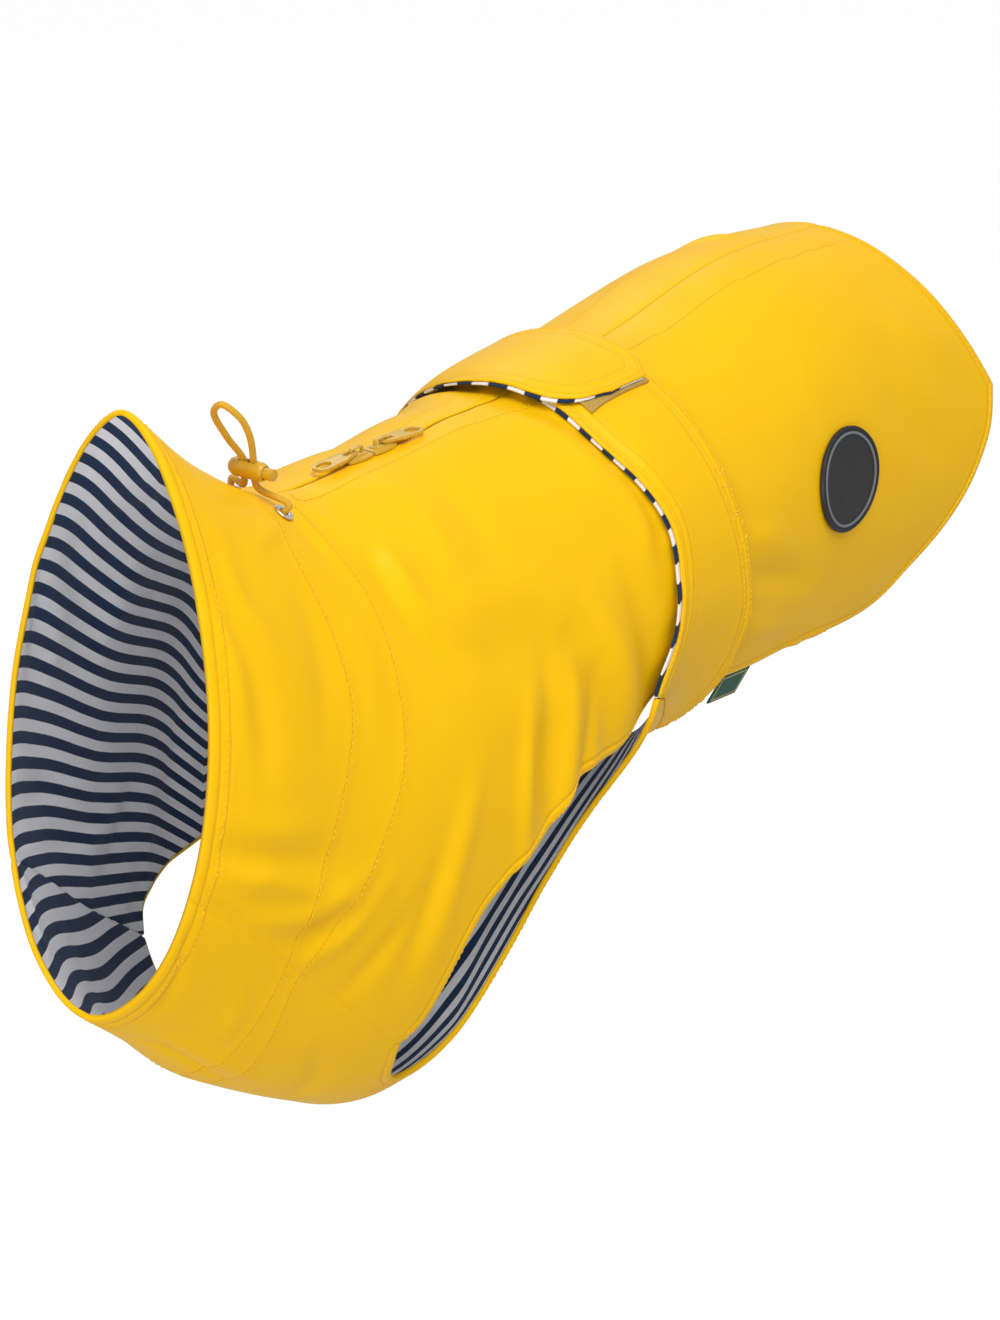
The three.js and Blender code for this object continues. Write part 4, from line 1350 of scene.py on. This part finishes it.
@dataclass
class SidePanels:
    """The two yellow side panels, their striped linings and their sewing."""

    finishes: Finishes
    columns: int = 96
    lining_columns: int = 48
    sheets: Dict[str, Sheet] = field(default_factory=dict)

    def steps(self, density: float) -> Array:
        """Steps of the rows, close together at the rim, the leg opening and the rear hem."""
        rim = np.array(RIM_ROWS) / RIM_STEP
        parts = [rim]
        for low, high, count in ((rim[-1], 4.0, 54), (4.0, 6.0, 26), (6.0, 13.0, 88), (13.0, 16.6, 44)):
            parts.append(np.linspace(low, high, int(count * density) + 1)[1:])
        parts.append(17 - np.array([0.32, 0.25, 0.19, 0.14, 0.1, 0.06, 0.03, 0.0]))
        return np.concatenate(parts)

    def widths(self, side: Side, steps: Array) -> Array:
        """Length of each row from the spine to the edge."""
        u, angle = side_places(side, steps, np.linspace(0, 1, 60)[None])
        return np.linalg.norm(np.diff(SKIN.point(u, angle), axis=1), axis=-1).sum(1)

    def panel(self, side: Side) -> Sheet:
        """Lays out one yellow panel.

        Args:
            side: Side of the dog.

        Returns:
            Its sheet.
        """
        steps = self.steps(1.0)
        share = spaced(self.widths(side, steps), SEAM_ROWS, EDGE_ROWS, self.columns)
        u, angle = side_places(side, steps, share)
        half_seam = -side.value * (1 - share) * SEAM / 2
        sheet = Sheet(f"panel_{side.word}", u, angle, np.zeros_like(u), CLOTH, half_seam)
        sheet.rolled = ("first", "last", "end")
        first = int(np.argmax(steps > SEAM_END + 0.05))
        sheet.free = slice(first, None)
        widths = self.widths(side, steps)[:, None]
        slit = smoothstep(steps, 2.3, 2.6)[:, None] * (1 - smoothstep(steps, 8.5, 9.0))[:, None]
        sheet.shift = sheet.shift - side.value * (1 - share) * SLIT_OPEN * slit
        sewn = (1 - smoothstep(steps, 3.9, 4.1))[:, None]
        sheet.dip = (0.55 * slit * np.clip(1 - share * widths / 1.4, 0, 1) ** 2
                     + 0.45 * sewn * np.exp(-((1 - share) * widths / 1.3) ** 2)
                     + 0.35 * (1 - slit) * np.exp(-(share * widths / 1.2) ** 2))
        sheet.lines = self.lines(side, u, angle)
        return sheet

    def lines(self, side: Side, u: Array, angle: Array) -> Dict[str, Array]:
        """Sewn lines of one side.

        Args:
            side: Side of the dog.
            u: Places of the panel.
            angle: Angles of the panel.

        Returns:
            Points of each line, by name.
        """
        found = {"rim": SKIN.lifted(u[0], angle[0], 0.0)}
        for name, places in (("front_tunnel", FRONT_TUNNEL), ("rear_tunnel", REAR_TUNNEL), ("welt", WELT)):
            path = smooth_path(places)
            found[name] = SKIN.lifted(path[:, 0], side.value * path[:, 1], 0.0)
        return found

    def lining(self, side: Side) -> Sheet:
        """Lays out one side's lining, a little inside the panel's edges."""
        steps = self.steps(0.5)
        steps = np.clip(steps, 1.1 / RIM_STEP, 16.93)
        steps = np.unique(np.round(steps, 5))
        widths = self.widths(side, steps)
        share = spaced(widths, (0.0, 2.0), (1.1, 3.0), self.lining_columns)
        sewn = steps < SEAM_END
        share[sewn] /= share[sewn, -1:]
        u, angle = side_places(side, steps, share)
        sheet = Sheet(f"lining_{side.word}_cloth", u, angle, np.full_like(u, -LINING_DEPTH), LINING,
                      -side.value * (1 - share) * SEAM / 2)
        around = arc_around(u, angle)
        sheet.uv = np.stack([u * COAT_LENGTH, around], -1)
        return sheet

    def stripe(self, sheet: Sheet) -> Array:
        """Place across the stripes, with the cloth's slight waviness."""
        along, around = sheet.uv[..., 0], np.abs(sheet.uv[..., 1])
        wave = 0.7 * np.sin(along / 21 + around / 60) + 0.5 * np.sin(along / 12 - around / 35 + 1.3)
        along = np.minimum(along, STRIPE_BEND_END)
        bent = sum(part * (along / 100) ** i * (around / 100) ** j for part, i, j in STRIPE_BEND)
        return bent + wave

    def build(self) -> None:
        """Makes and dresses all pieces of the sides."""
        for side in Side:
            sheet = self.panel(side)
            thing = declare(sheet.build(), self.finishes.panel, [f"side_{side.word}"])
            self.sheets[side.word] = sheet
            self.sew(side, sheet)
            inner = self.lining(side)
            made = inner.build()
            values = np.concatenate([self.stripe(inner).ravel()] * 2).astype(np.float32)
            made.data.attributes.new("stripe", "FLOAT", "POINT").data.foreach_set("value", values)
            declare(made, self.finishes.lining, [f"lining_{side.word}"])

    def sew(self, side: Side, sheet: Sheet) -> None:
        """Sews the rows of one panel.

        Args:
            side: Side of the dog.
            sheet: The panel's sheet.
        """
        row = Stitching(f"stitches_{side.word}")
        plain = sheet.plain
        first = int(np.argmax(self.steps(1.0) > SEAM_END + 0.15))
        row.row(inset_line(sheet, plain[0], RIM_STITCH), sheet)
        row.row(inset_line(sheet, plain[first:, -1], HEM_STITCH), sheet)
        row.row(inset_line(sheet, plain[-1][::-1], HEM_STITCH), sheet)
        for name in ("front_tunnel", "rear_tunnel"):
            row.row(sheet.lines[name], sheet, self.outside(sheet))
        row.row(sheet.lines["welt"], sheet)
        row.build(self.finishes.thread)

    def outside(self, sheet: Sheet) -> Callable[[Array], Array]:
        """Test for places beyond the panel's edge."""
        def test(point: Array) -> bool:
            return sheet.tree.find_nearest(point.tolist())[3] > SEWN_REACH
        return test


@dataclass
class ChestPiece:
    """The chest piece with its strip, and its lining."""

    finishes: Finishes
    columns: int = 100
    sheet: Optional[Sheet] = None

    def steps(self, density: float) -> Array:
        """Steps of the rows."""
        rim = np.array(RIM_ROWS) / RIM_STEP
        parts = [rim]
        for low, high, count in ((rim[-1], 4.0, 46), (4.0, 6.2, 30), (6.2, 10.0, 56), (10.0, 11.8, 22)):
            parts.append(np.linspace(low, high, int(count * density) + 1)[1:])
        parts.append(12 - np.array([0.14, 0.08, 0.03, 0.0]))
        return np.concatenate(parts)

    def lay(self, name: str, density: float, columns: int, depth: float, thickness: float,
            inset: float) -> Sheet:
        """Lays out a layer of the chest piece.

        Args:
            name: Name of the piece.
            density: Share of the rows.
            columns: Number of columns in the middle.
            depth: Depth of its outer face.
            thickness: Thickness of the layer.
            inset: Distance of its edges inside the yellow cloth's.

        Returns:
            The sheet.
        """
        steps = self.steps(density)
        if inset:
            steps = np.unique(np.round(np.clip(steps, inset / RIM_STEP, 11.95), 5))
        u, angle, _ = chest_places(steps, np.linspace(1, -1, 80)[None])
        width = np.linalg.norm(np.diff(SKIN.point(u, angle), axis=1), axis=-1).sum(1)
        near = (inset, inset + 2) if inset else EDGE_ROWS
        share = spaced(width, near, near, columns)
        sewn = (steps < SEAM_END) | (steps > ARM_FIRST)
        share[sewn] = (share[sewn] - share[sewn, :1]) / (share[sewn, -1:] - share[sewn, :1])
        u, angle, lift = chest_places(steps, 1 - 2 * share)
        sheet = Sheet(name, u, angle, lift - depth, thickness, np.zeros_like(u))
        away = np.minimum(share, 1 - share) * width[:, None]
        sheet.dip = 0.45 * sewn[:, None] * np.exp(-(away / 1.3) ** 2)
        sheet.free = slice(int(np.argmax(steps > SEAM_END + 0.05)), int(np.argmax(steps > ARM_FIRST - 0.05)))
        around = np.sign(angle) * (arc_around(u, np.full_like(angle, 180.0)) - arc_around(u, np.abs(angle)))
        sheet.uv = np.stack([u * COAT_LENGTH, around], -1)
        return sheet

    def build(self) -> None:
        """Makes and dresses the chest piece and its lining."""
        sheet = self.lay("chest_piece", 1.0, self.columns, 0.0, CLOTH, 0.0)
        sheet.rolled = ("first", "last", "start", "end")
        sheet.lines = {"rim": SKIN.lifted(sheet.u[0], sheet.angle[0], 0.0)}
        for name, places in (("front_tunnel", FRONT_TUNNEL), ("rear_tunnel", REAR_TUNNEL)):
            path = smooth_path(places)
            path = path[path[:, 1] > 90]
            whole = np.vstack([path, [(u, 360 - angle) for u, angle in path[::-1][1:]]])
            turned = np.where(whole[:, 1] > 180, whole[:, 1] - 360, whole[:, 1])
            sheet.lines[name] = SKIN.lifted(whole[:, 0], turned, 0.0)
        thing = declare(sheet.build(), self.finishes.chest, ["chest"])
        self.sheet = sheet
        inner = self.lay("lining_chest_cloth", 0.55, 56, LINING_DEPTH, LINING, 1.1)
        made = inner.build()
        along, around = inner.uv[..., 0], inner.uv[..., 1]
        wave = 1.4 * np.sin(along / 24 + around / 31) + 0.8 * np.sin(along / 13 - around / 22)
        stripe = np.abs(around) * 0.86 - along * 0.5 + wave
        values = np.concatenate([stripe.ravel()] * 2).astype(np.float32)
        made.data.attributes.new("stripe", "FLOAT", "POINT").data.foreach_set("value", values)
        declare(made, self.finishes.lining, ["lining_chest"])
        self.sew(sheet)

    def sew(self, sheet: Sheet) -> None:
        """Sews the rim, the leg openings and the tunnel."""
        row = Stitching("stitches_chest")
        steps = self.steps(1.0)
        low, high = (int(np.argmax(steps > value)) for value in (SEAM_END + 0.2, 9.9))
        row.row(inset_line(sheet, sheet.plain[0], RIM_STITCH), sheet)
        for column in (0, -1):
            row.row(inset_line(sheet, sheet.plain[low:high, column], HEM_STITCH), sheet)
        for name in ("front_tunnel", "rear_tunnel"):
            row.row(sheet.lines[name], sheet, lambda p: sheet.tree.find_nearest(p.tolist())[3] > SEWN_REACH)
        row.build(self.finishes.thread)


@dataclass
class BeltArms:
    """The belt's two arms, their linings that show as piping, and the loop pad under the tip."""

    finishes: Finishes
    columns: int = 34

    def lay(self, name: str, side: Side, rows: Table, first: float, depth: float, thickness: float) -> Sheet:
        """Lays out a layer of an arm.

        Args:
            name: Name of the piece.
            side: Side of the dog.
            rows: The arm's table.
            first: Share at the front edge, below 0 where the layer stands out.
            depth: Depth of its outer face.
            thickness: Thickness of the layer.

        Returns:
            The sheet.
        """
        last = rows.rows[-1][0]
        tip = last - np.array([0.3, 0.22, 0.15, 0.1, 0.06, 0.03, 0])
        steps = np.concatenate([np.linspace(0, last - 0.4, 120), tip])
        share = spaced(np.full(len(steps), 56.0), EDGE_ROWS, EDGE_ROWS, self.columns)
        share = first + (1 - first) * share
        u, angle, lift = arm_places(rows, side, steps, share)
        sheet = Sheet(name, u, angle, lift - depth, thickness, np.zeros_like(u))
        sheet.uv = np.stack([u * COAT_LENGTH, angle * DEGREE], -1)
        return sheet

    def build(self) -> None:
        """Makes and dresses the arms and the pad."""
        for side, rows in ((Side.LEFT, LEFT_ARM), (Side.RIGHT, RIGHT_ARM)):
            sheet = self.lay(f"belt_{side.word}", side, rows, 0.0, 0.0, CLOTH)
            sheet.rolled = ("start", "end", "last")
            sheet.roll_depth = CLOTH
            thing = declare(sheet.build(), self.finishes.arm, [f"arm_{side.word}"])
            inner = self.lay(f"belt_lining_{side.word}", side, rows, -PIPING_SHOWS, LINING_DEPTH, LINING)
            made = inner.build()
            stripe = 0.55 * inner.uv[..., 1] + 0.2 * inner.uv[..., 0]
            values = np.concatenate([stripe.ravel()] * 2).astype(np.float32)
            made.data.attributes.new("stripe", "FLOAT", "POINT").data.foreach_set("value", values)
            declare(made, self.finishes.lining, [f"arm_lining_{side.word}"])
            row = Stitching(f"stitches_belt_{side.word}")
            border = np.vstack([sheet.plain[:, 0], sheet.plain[-1], sheet.plain[::-1, -1]])
            row.row(inset_line(sheet, border, 2.2), sheet)
            row.row(inset_line(sheet, sheet.plain[:, -1], 8.0), sheet)
            row.build(self.finishes.thread)
        self.pad()

    def pad(self) -> None:
        """Makes the loop pad under the right arm's tip."""
        share = np.linspace(0, 1, 61)
        u = 0.497 + (0.574 - 0.497) * np.linspace(0, 1, 61)[:, None] + 0 * share[None]
        angle = 25.0 + (3.0 - 25.0) * share[None] + 0 * u
        rough = 0.25 * np.sin(u * COAT_LENGTH * 3.1) * np.sin(angle * DEGREE * 3.4)
        sheet = Sheet("loop_pad", u, angle, 4.5 + rough, 1.0, np.zeros_like(u))
        sheet.uv = np.stack([u * COAT_LENGTH, angle * DEGREE], -1)
        thing = declare(sheet.build(), self.finishes.pad, ["fastener_pad"])


class Bench:
    """Modelling by operators, as by hand."""

    @staticmethod
    def clear() -> None:
        """Deselects everything."""
        for thing in bpy.context.view_layer.objects:
            thing.select_set(False)

    @staticmethod
    def take(thing: bpy.types.Object) -> None:
        """Makes one object the active and only selected one."""
        Bench.clear()
        thing.select_set(True)
        bpy.context.view_layer.objects.active = thing

    @staticmethod
    def copy(node: str, name: str) -> bpy.types.Object:
        """Merged copy of a solid.

        Args:
            node: Name of the solid.
            name: Name of the copy.

        Returns:
            The new object.
        """
        solid = next(o for o in bpy.data.objects if o.name.split(".")[0] == node and o.type == "MESH")
        mesh = solid.data.copy()
        mesh.materials.clear()
        thing = bpy.data.objects.new(name, mesh)
        bpy.context.scene.collection.objects.link(thing)
        Bench.take(thing)
        bpy.ops.object.mode_set(mode="EDIT")
        bpy.ops.mesh.select_all(action="SELECT")
        bpy.ops.mesh.remove_doubles(threshold=1e-5)
        bpy.ops.mesh.tris_convert_to_quads()
        bpy.ops.object.mode_set(mode="OBJECT")
        return thing

    @staticmethod
    def bevel(thing: bpy.types.Object, width: float, segments: int = 3, angle: float = 35.0) -> None:
        """Rounds the edges of a piece.

        Args:
            thing: The piece.
            width: Width of the rounding in millimetres.
            segments: Number of steps.
            angle: Least angle of a rounded edge.
        """
        Bench.take(thing)
        made = thing.modifiers.new("round", "BEVEL")
        made.width = width * MM
        made.segments = segments
        made.limit_method = "ANGLE"
        made.angle_limit = math.radians(angle)
        bpy.ops.object.modifier_apply(modifier=made.name)
        bpy.ops.object.shade_smooth_by_angle(angle=math.radians(40))

    @staticmethod
    def seat(thing: bpy.types.Object, basis: Matrix) -> None:
        """Puts a piece modelled at the origin in its place, in its mesh."""
        thing.data.transform(basis)
        thing.matrix_world = Matrix()
        thing.data.update()


def skin_basis(u: float, angle: float, lift: float) -> Matrix:
    """Frame on the creased skin, in metres.

    Args:
        u: Place along the coat.
        angle: Angle round the body.
        lift: Distance outside the skin in millimetres.

    Returns:
        A matrix with x along the coat and z out of it.
    """
    forward, normal = SKIN.frame(np.array([u]), np.array([angle]))
    place = SKIN.lifted(np.array([u]), np.array([angle]), np.array([lift]))[0]
    x, z = Vector(forward[0]), Vector(normal[0])
    basis = Matrix((x, z.cross(x), z)).transposed().to_4x4()
    basis.translation = Vector(place) * MM
    return basis


@dataclass
class Drawstring:
    """Neck drawstring: two eyelets, the braided cord, its stopper and the button."""

    finishes: Finishes
    eyelet_u: float = 0.14
    eyelet_angles: Tuple[float, float] = (16.5, -7.5)
    radius: float = 1.4
    stopper: Tuple[float, float, float] = (-76, -10, 23)
    loop: tuple = ((1.0, -3.8, -7.5), (0.0, -2.6, -3.0), (0.0, -2.6, 3.0), (-5.5, -5.5, 17.0),
                   (-11.0, -5.2, 26.0), (-16.0, -0.5, 31.5), (-15.0, 4.6, 27.0), (-8.0, 4.4, 15.0),
                   (0.0, 2.6, 3.0), (0.0, 2.6, -3.0), (1.0, 3.8, -7.5))

    def route(self) -> Array:
        """Centre line of the cord, from the left eyelet to the right one."""
        ends = []
        for angle in self.eyelet_angles:
            at = np.array([self.eyelet_u]), np.array([angle])
            ends.append((SKIN.point(*at)[0], SKIN.point(*at)[0] + SKIN.frame(*at)[1][0] * 4.5))
        loop = [np.array(self.stopper) + row for row in self.loop]
        return smooth_path([ends[0][0], ends[0][1], *loop, ends[1][1], ends[1][0]], 14)

    def cord(self) -> bpy.types.Object:
        """Makes the braided cord as a tube along its route.

        Returns:
            The cord.
        """
        path = dense_path(self.route(), 0.35)
        tangents = np.gradient(path, axis=0)
        tangents /= np.linalg.norm(tangents, axis=1, keepdims=True)
        side = np.cross(tangents[0], (0, 1, 0.3))
        frames = []
        for tangent in tangents:
            side = side - tangent * (side @ tangent)
            side /= np.linalg.norm(side)
            frames.append((side, np.cross(tangent, side)))
        sectors = 28
        turns = np.arange(sectors) * 2 * math.pi / sectors
        along = np.arange(len(path)) * 0.35
        strands = 8
        one = np.sin(strands / 2 * turns[None] + along[:, None] * 2 * math.pi / 4.4)
        two = np.sin(strands / 2 * turns[None] - along[:, None] * 2 * math.pi / 4.4)
        strand = np.maximum(np.abs(one), np.abs(two))
        ring = self.radius * (0.93 + 0.09 * strand)
        first, second = (np.array([frame[k] for frame in frames]) for k in range(2))
        points = (path[:, None] + first[:, None] * (np.cos(turns)[None, :, None] * ring[..., None])
                  + second[:, None] * (np.sin(turns)[None, :, None] * ring[..., None]))
        index = np.arange(len(path) * sectors).reshape(len(path), sectors)
        after = np.roll(index, -1, axis=1)
        faces = np.stack([index[:-1], after[:-1], after[1:], index[1:]], -1).reshape(-1, 4)
        caps = []
        vertices = np.vstack([points.reshape(-1, 3), path[:1], path[-1:]])
        strand = np.append(strand.ravel(), [0.5, 0.5])
        for row, middle, turned in ((0, len(vertices) - 2, True), (-1, len(vertices) - 1, False)):
            pair = (after[row], index[row]) if turned else (index[row], after[row])
            caps.append(np.stack([pair[0], pair[1], np.full(sectors, middle)], -1))
        mesh = bpy.data.meshes.new("drawstring_cord")
        mesh.from_pydata((vertices * MM).tolist(), [], faces.tolist() + np.concatenate(caps).tolist())
        mesh.polygons.foreach_set("use_smooth", np.ones(len(mesh.polygons), bool))
        mesh.attributes.new("strand", "FLOAT", "POINT").data.foreach_set("value", strand.astype(np.float32))
        mesh.update()
        thing = bpy.data.objects.new("drawstring_cord", mesh)
        bpy.context.scene.collection.objects.link(thing)
        declare(thing, self.finishes.cord, ["drawcord"])
        return thing

    def eyelet(self, side: Side) -> None:
        """Makes one eyelet: a flanged ring on the cloth.

        Args:
            side: Side of the dog.
        """
        Bench.clear()
        bpy.ops.mesh.primitive_torus_add(major_segments=40, minor_segments=14, major_radius=3.3 * MM,
                                         minor_radius=1.25 * MM)
        thing = bpy.context.object
        thing.name = f"eyelet_ring_{side.word}"
        bpy.ops.object.mode_set(mode="EDIT")
        bpy.ops.mesh.select_all(action="SELECT")
        bpy.ops.transform.resize(value=(1, 1, 0.42))
        bpy.ops.object.mode_set(mode="OBJECT")
        bpy.ops.object.shade_smooth()
        angle = self.eyelet_angles[0 if side is Side.LEFT else 1]
        Bench.seat(thing, skin_basis(self.eyelet_u, angle, 0.75))
        declare(thing, self.finishes.steel, [f"eyelet_{side.word}"])

    def build(self) -> None:
        """Makes and dresses the drawstring."""
        cord = self.cord()
        stopper = Bench.copy("cord_stopper", "stopper_shell")
        Bench.bevel(stopper, 0.35)
        declare(stopper, self.finishes.plastic, ["cord_stopper"])
        button = Bench.copy("stopper_button", "stopper_press")
        Bench.bevel(button, 0.5)
        declare(button, self.finishes.plastic, ["stopper_button"], "stopper_button")
        route = self.route()
        for side in Side:
            self.eyelet(side)


@dataclass
class Zip:
    """The zip in the middle of the back, with its two sliders and pull tabs."""

    finishes: Finishes

    def build(self) -> None:
        """Makes and dresses the zip."""
        for end in ("front", "rear"):
            slider = Bench.copy(f"slider_{end}", f"zip_slider_{end}")
            Bench.bevel(slider, 0.3)
            declare(slider, self.finishes.paint, [f"slider_{end}"])
            pull = Bench.copy(f"pull_{end}", f"zip_pull_{end}")
            Bench.bevel(pull, 0.3)
            declare(pull, self.finishes.paint, [f"pull_{end}"], f"pull_{end}")
        self.tape()
        self.coil()

    def tape(self) -> None:
        """Makes the woven tape under the slit."""
        steps = np.linspace(2.4, 8.8, 120)
        half = np.linspace(-1, 1, 17)
        u = SIDE_EDGE.cornered("uSpine", steps)[:, None] + 0 * half[None]
        angle = 7.5 * half[None] + 0 * u
        sheet = Sheet("zip_tape_cloth", u, angle, np.full_like(u, -TAPE_DEPTH), 1.2, np.full_like(u, 0.0))
        sheet.uv = np.stack([u * COAT_LENGTH, angle * DEGREE], -1)
        thing = declare(sheet.build(), self.finishes.tape, ["zip_tape"])

    def coil(self) -> None:
        """Makes the zip's coil teeth just under the slit."""
        line = dense_path(SKIN.lifted(np.linspace(0.178, 0.484, 200), np.zeros(200), -1.35), 1.3)
        coil = Stitching("zip_coil", length=1.0, radius=0.42, sides=8)
        _, normals = SKIN.frame(np.linspace(0.178, 0.484, len(line)), np.zeros(len(line)))
        for k, (point, normal) in enumerate(zip(line, normals)):
            side = 1 if k % 2 else -1
            coil.stitch(point + np.array([0, side * 0.45, 0]), normal, np.array([0.15, 1.0, 0]))
        coil.build(self.finishes.teeth)


@dataclass
class Badge:
    """Rubber badge on the left flank, with a raised ring."""

    finishes: Finishes
    u: float = 0.769
    angle: float = 80.0
    radius: float = 24.0

    def wrap(self, thing: bpy.types.Object) -> None:
        """Lays a flat piece on the flank: its x runs along the coat and its y round it."""
        count = len(thing.data.vertices)
        flat = np.empty(count * 3)
        thing.data.vertices.foreach_get("co", flat)
        flat = flat.reshape(-1, 3) / MM
        placed = SKIN.near(self.u, self.angle, flat[:, 0], flat[:, 1], flat[:, 2])
        thing.data.vertices.foreach_set("co", (placed * MM).ravel())
        thing.data.update()
        Bench.take(thing)
        bpy.ops.object.mode_set(mode="EDIT")
        bpy.ops.mesh.select_all(action="SELECT")
        bpy.ops.mesh.normals_make_consistent(inside=False)
        bpy.ops.object.mode_set(mode="OBJECT")
        bpy.ops.object.shade_smooth_by_angle(angle=math.radians(35))

    def ring(self, name: str, profile: Sequence[Tuple[float, float]], sectors: int = 96) -> bpy.types.Object:
        """Turns a closed profile of radius and height about the badge's middle.

        Args:
            name: Name of the piece.
            profile: Radius and height of each corner.
            sectors: Steps round the badge.

        Returns:
            The new object, still flat.
        """
        mesh = bpy.data.meshes.new(name)
        points = [(radius * MM, 0, height * MM) for radius, height in profile]
        edges = [(k, k + 1) for k in range(len(points) - 1)]
        mesh.from_pydata(points, edges, [])
        thing = bpy.data.objects.new(name, mesh)
        bpy.context.scene.collection.objects.link(thing)
        Bench.take(thing)
        bpy.ops.object.mode_set(mode="EDIT")
        bpy.ops.mesh.select_all(action="SELECT")
        bpy.ops.mesh.spin(steps=sectors, angle=2 * math.pi, center=(0, 0, 0), axis=(0, 0, 1))
        bpy.ops.mesh.select_all(action="SELECT")
        bpy.ops.mesh.remove_doubles(threshold=1e-5)
        bpy.ops.object.mode_set(mode="OBJECT")
        return thing

    def build(self) -> None:
        """Makes and dresses the badge."""
        disc = [(0.0, 0.3), (6, 0.3), (12, 0.3), (18, 0.3), (23.4, 0.3), (24.0, 0.8), (24.0, 2.0),
                (23.7, 2.5), (23.2, 2.7), (22.6, 2.5), (22.3, 2.2), (20, 2.1), (16, 2.1), (12, 2.1),
                (8, 2.1), (4, 2.1), (0.0, 2.1)]
        body = self.ring("badge_disc", disc)
        self.wrap(body)
        declare(body, self.finishes.rubber, ["badge"])
        band = [(20.2, 2.0), (20.2, 2.55), (20.4, 2.7), (21.2, 2.7), (21.4, 2.55), (21.4, 2.0)]
        ring = self.ring("badge_ring", band + band[:1])
        self.wrap(ring)
        declare(ring, self.finishes.print)


class Label:
    """Woven label at the left hem, with a plain gold border."""

    def build(self) -> None:
        """Makes and dresses the label."""
        thing = Bench.copy("tag", "woven_label")
        Bench.bevel(thing, 0.25)
        points = np.array([vertex.co for vertex in thing.data.vertices]) / MM
        points -= (points.max(0) + points.min(0)) / 2
        axes = np.linalg.svd(points, full_matrices=False)[2]
        flat = points @ axes[:2].T
        layer = thing.data.uv_layers.get("flat") or thing.data.uv_layers.new(name="flat")
        for loop in thing.data.loops:
            layer.data[loop.index].uv = flat[loop.vertex_index]
        half = np.abs(flat).max(0)
        declare(thing, BorderedLabel("woven label", (float(half[0]), float(half[1]))).make(), ["tag"])


@dataclass
class Studio:
    """Pale floor, soft lights and the photograph's camera."""

    azimuth: float = -52.0
    elevation: float = 22.0
    distance: float = 1.9
    target: Tuple[float, float, float] = (0.100, 0.0, -0.118)
    lens: float = 116.73

    def camera(self) -> None:
        """Places the camera."""
        turn, rise = math.radians(self.azimuth), math.radians(self.elevation)
        back = Vector((math.sin(turn) * math.cos(rise), -math.cos(turn) * math.cos(rise), math.sin(rise)))
        data = bpy.data.cameras.new("camera")
        data.lens = self.lens
        data.sensor_width = 36.0
        data.clip_end = 50.0
        thing = bpy.data.objects.new("camera", data)
        bpy.context.scene.collection.objects.link(thing)
        thing.location = Vector(self.target) + back * self.distance
        thing.rotation_euler = back.to_track_quat("Z", "Y").to_euler()
        bpy.context.scene.camera = thing

    def light(self, name: str, place: Tuple[float, float, float], size: float, power: float) -> None:
        """Adds a soft square light that faces the coat.

        Args:
            name: Name of the light.
            place: Its place in metres.
            size: Its width in metres.
            power: Its power in watts.
        """
        data = bpy.data.lights.new(name, "AREA")
        data.size = size
        data.energy = power
        thing = bpy.data.objects.new(name, data)
        bpy.context.scene.collection.objects.link(thing)
        thing.location = place
        aim = Vector(place) - Vector(self.target)
        thing.rotation_euler = aim.to_track_quat("Z", "Y").to_euler()

    def floor(self) -> None:
        """Lays the pale floor."""
        Bench.clear()
        bpy.ops.mesh.primitive_plane_add(size=14, location=(0, 0, -0.62))
        thing = bpy.context.object
        thing.name = "floor"
        made, g, shader = new_material("pale floor")
        grain = g.group(EFFECTS.grain(), Scale=60.0, Fine=0.2, Broad=0.1)
        tone = g.mix(grain.outputs["Mask"], (0.24, 0.24, 0.24, 1), (0.26, 0.26, 0.26, 1))
        g.put(shader.inputs["Base Color"], tone)
        shader.inputs["Roughness"].default_value = 0.95
        shader.inputs["Specular IOR Level"].default_value = 0.1
        seen = g.node("LightPath").outputs["Is Camera Ray"]
        shader.inputs["Emission Color"].default_value = (1, 1, 1, 1)
        g.put(shader.inputs["Emission Strength"], g.math("ADD", 0.3, g.math("MULTIPLY", seen, 0.53)))
        thing.data.materials.append(made)

    def build(self) -> None:
        """Sets the whole studio."""
        world = bpy.data.worlds.new("studio")
        bpy.context.scene.world = world
        world.use_nodes = True
        shade = world.node_tree.nodes["Background"]
        shade.inputs[0].default_value = (1, 1, 1, 1)
        shade.inputs[1].default_value = 0.55
        bpy.context.scene.view_settings.view_transform = "Standard"
        self.light("key", (-0.35, -0.75, 1.7), 1.3, 23)
        self.light("fill", (-1.8, -0.7, -0.1), 1.2, 14)
        self.light("back", (1.0, 1.3, 1.3), 1.2, 6)
        self.floor()


def main() -> None:
    """Builds the coat's looks in order."""
    logging.basicConfig(level=logging.INFO, format="%(message)s")
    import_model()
    studio = Studio()
    studio.camera()
    finishes = Finishes()
    Drawstring(finishes).build()
    SidePanels(finishes).build()
    ChestPiece(finishes).build()
    BeltArms(finishes).build()
    Zip(finishes).build()
    Badge(finishes).build()
    Label().build()
    studio.build()


if __name__ == "__main__":
    main()
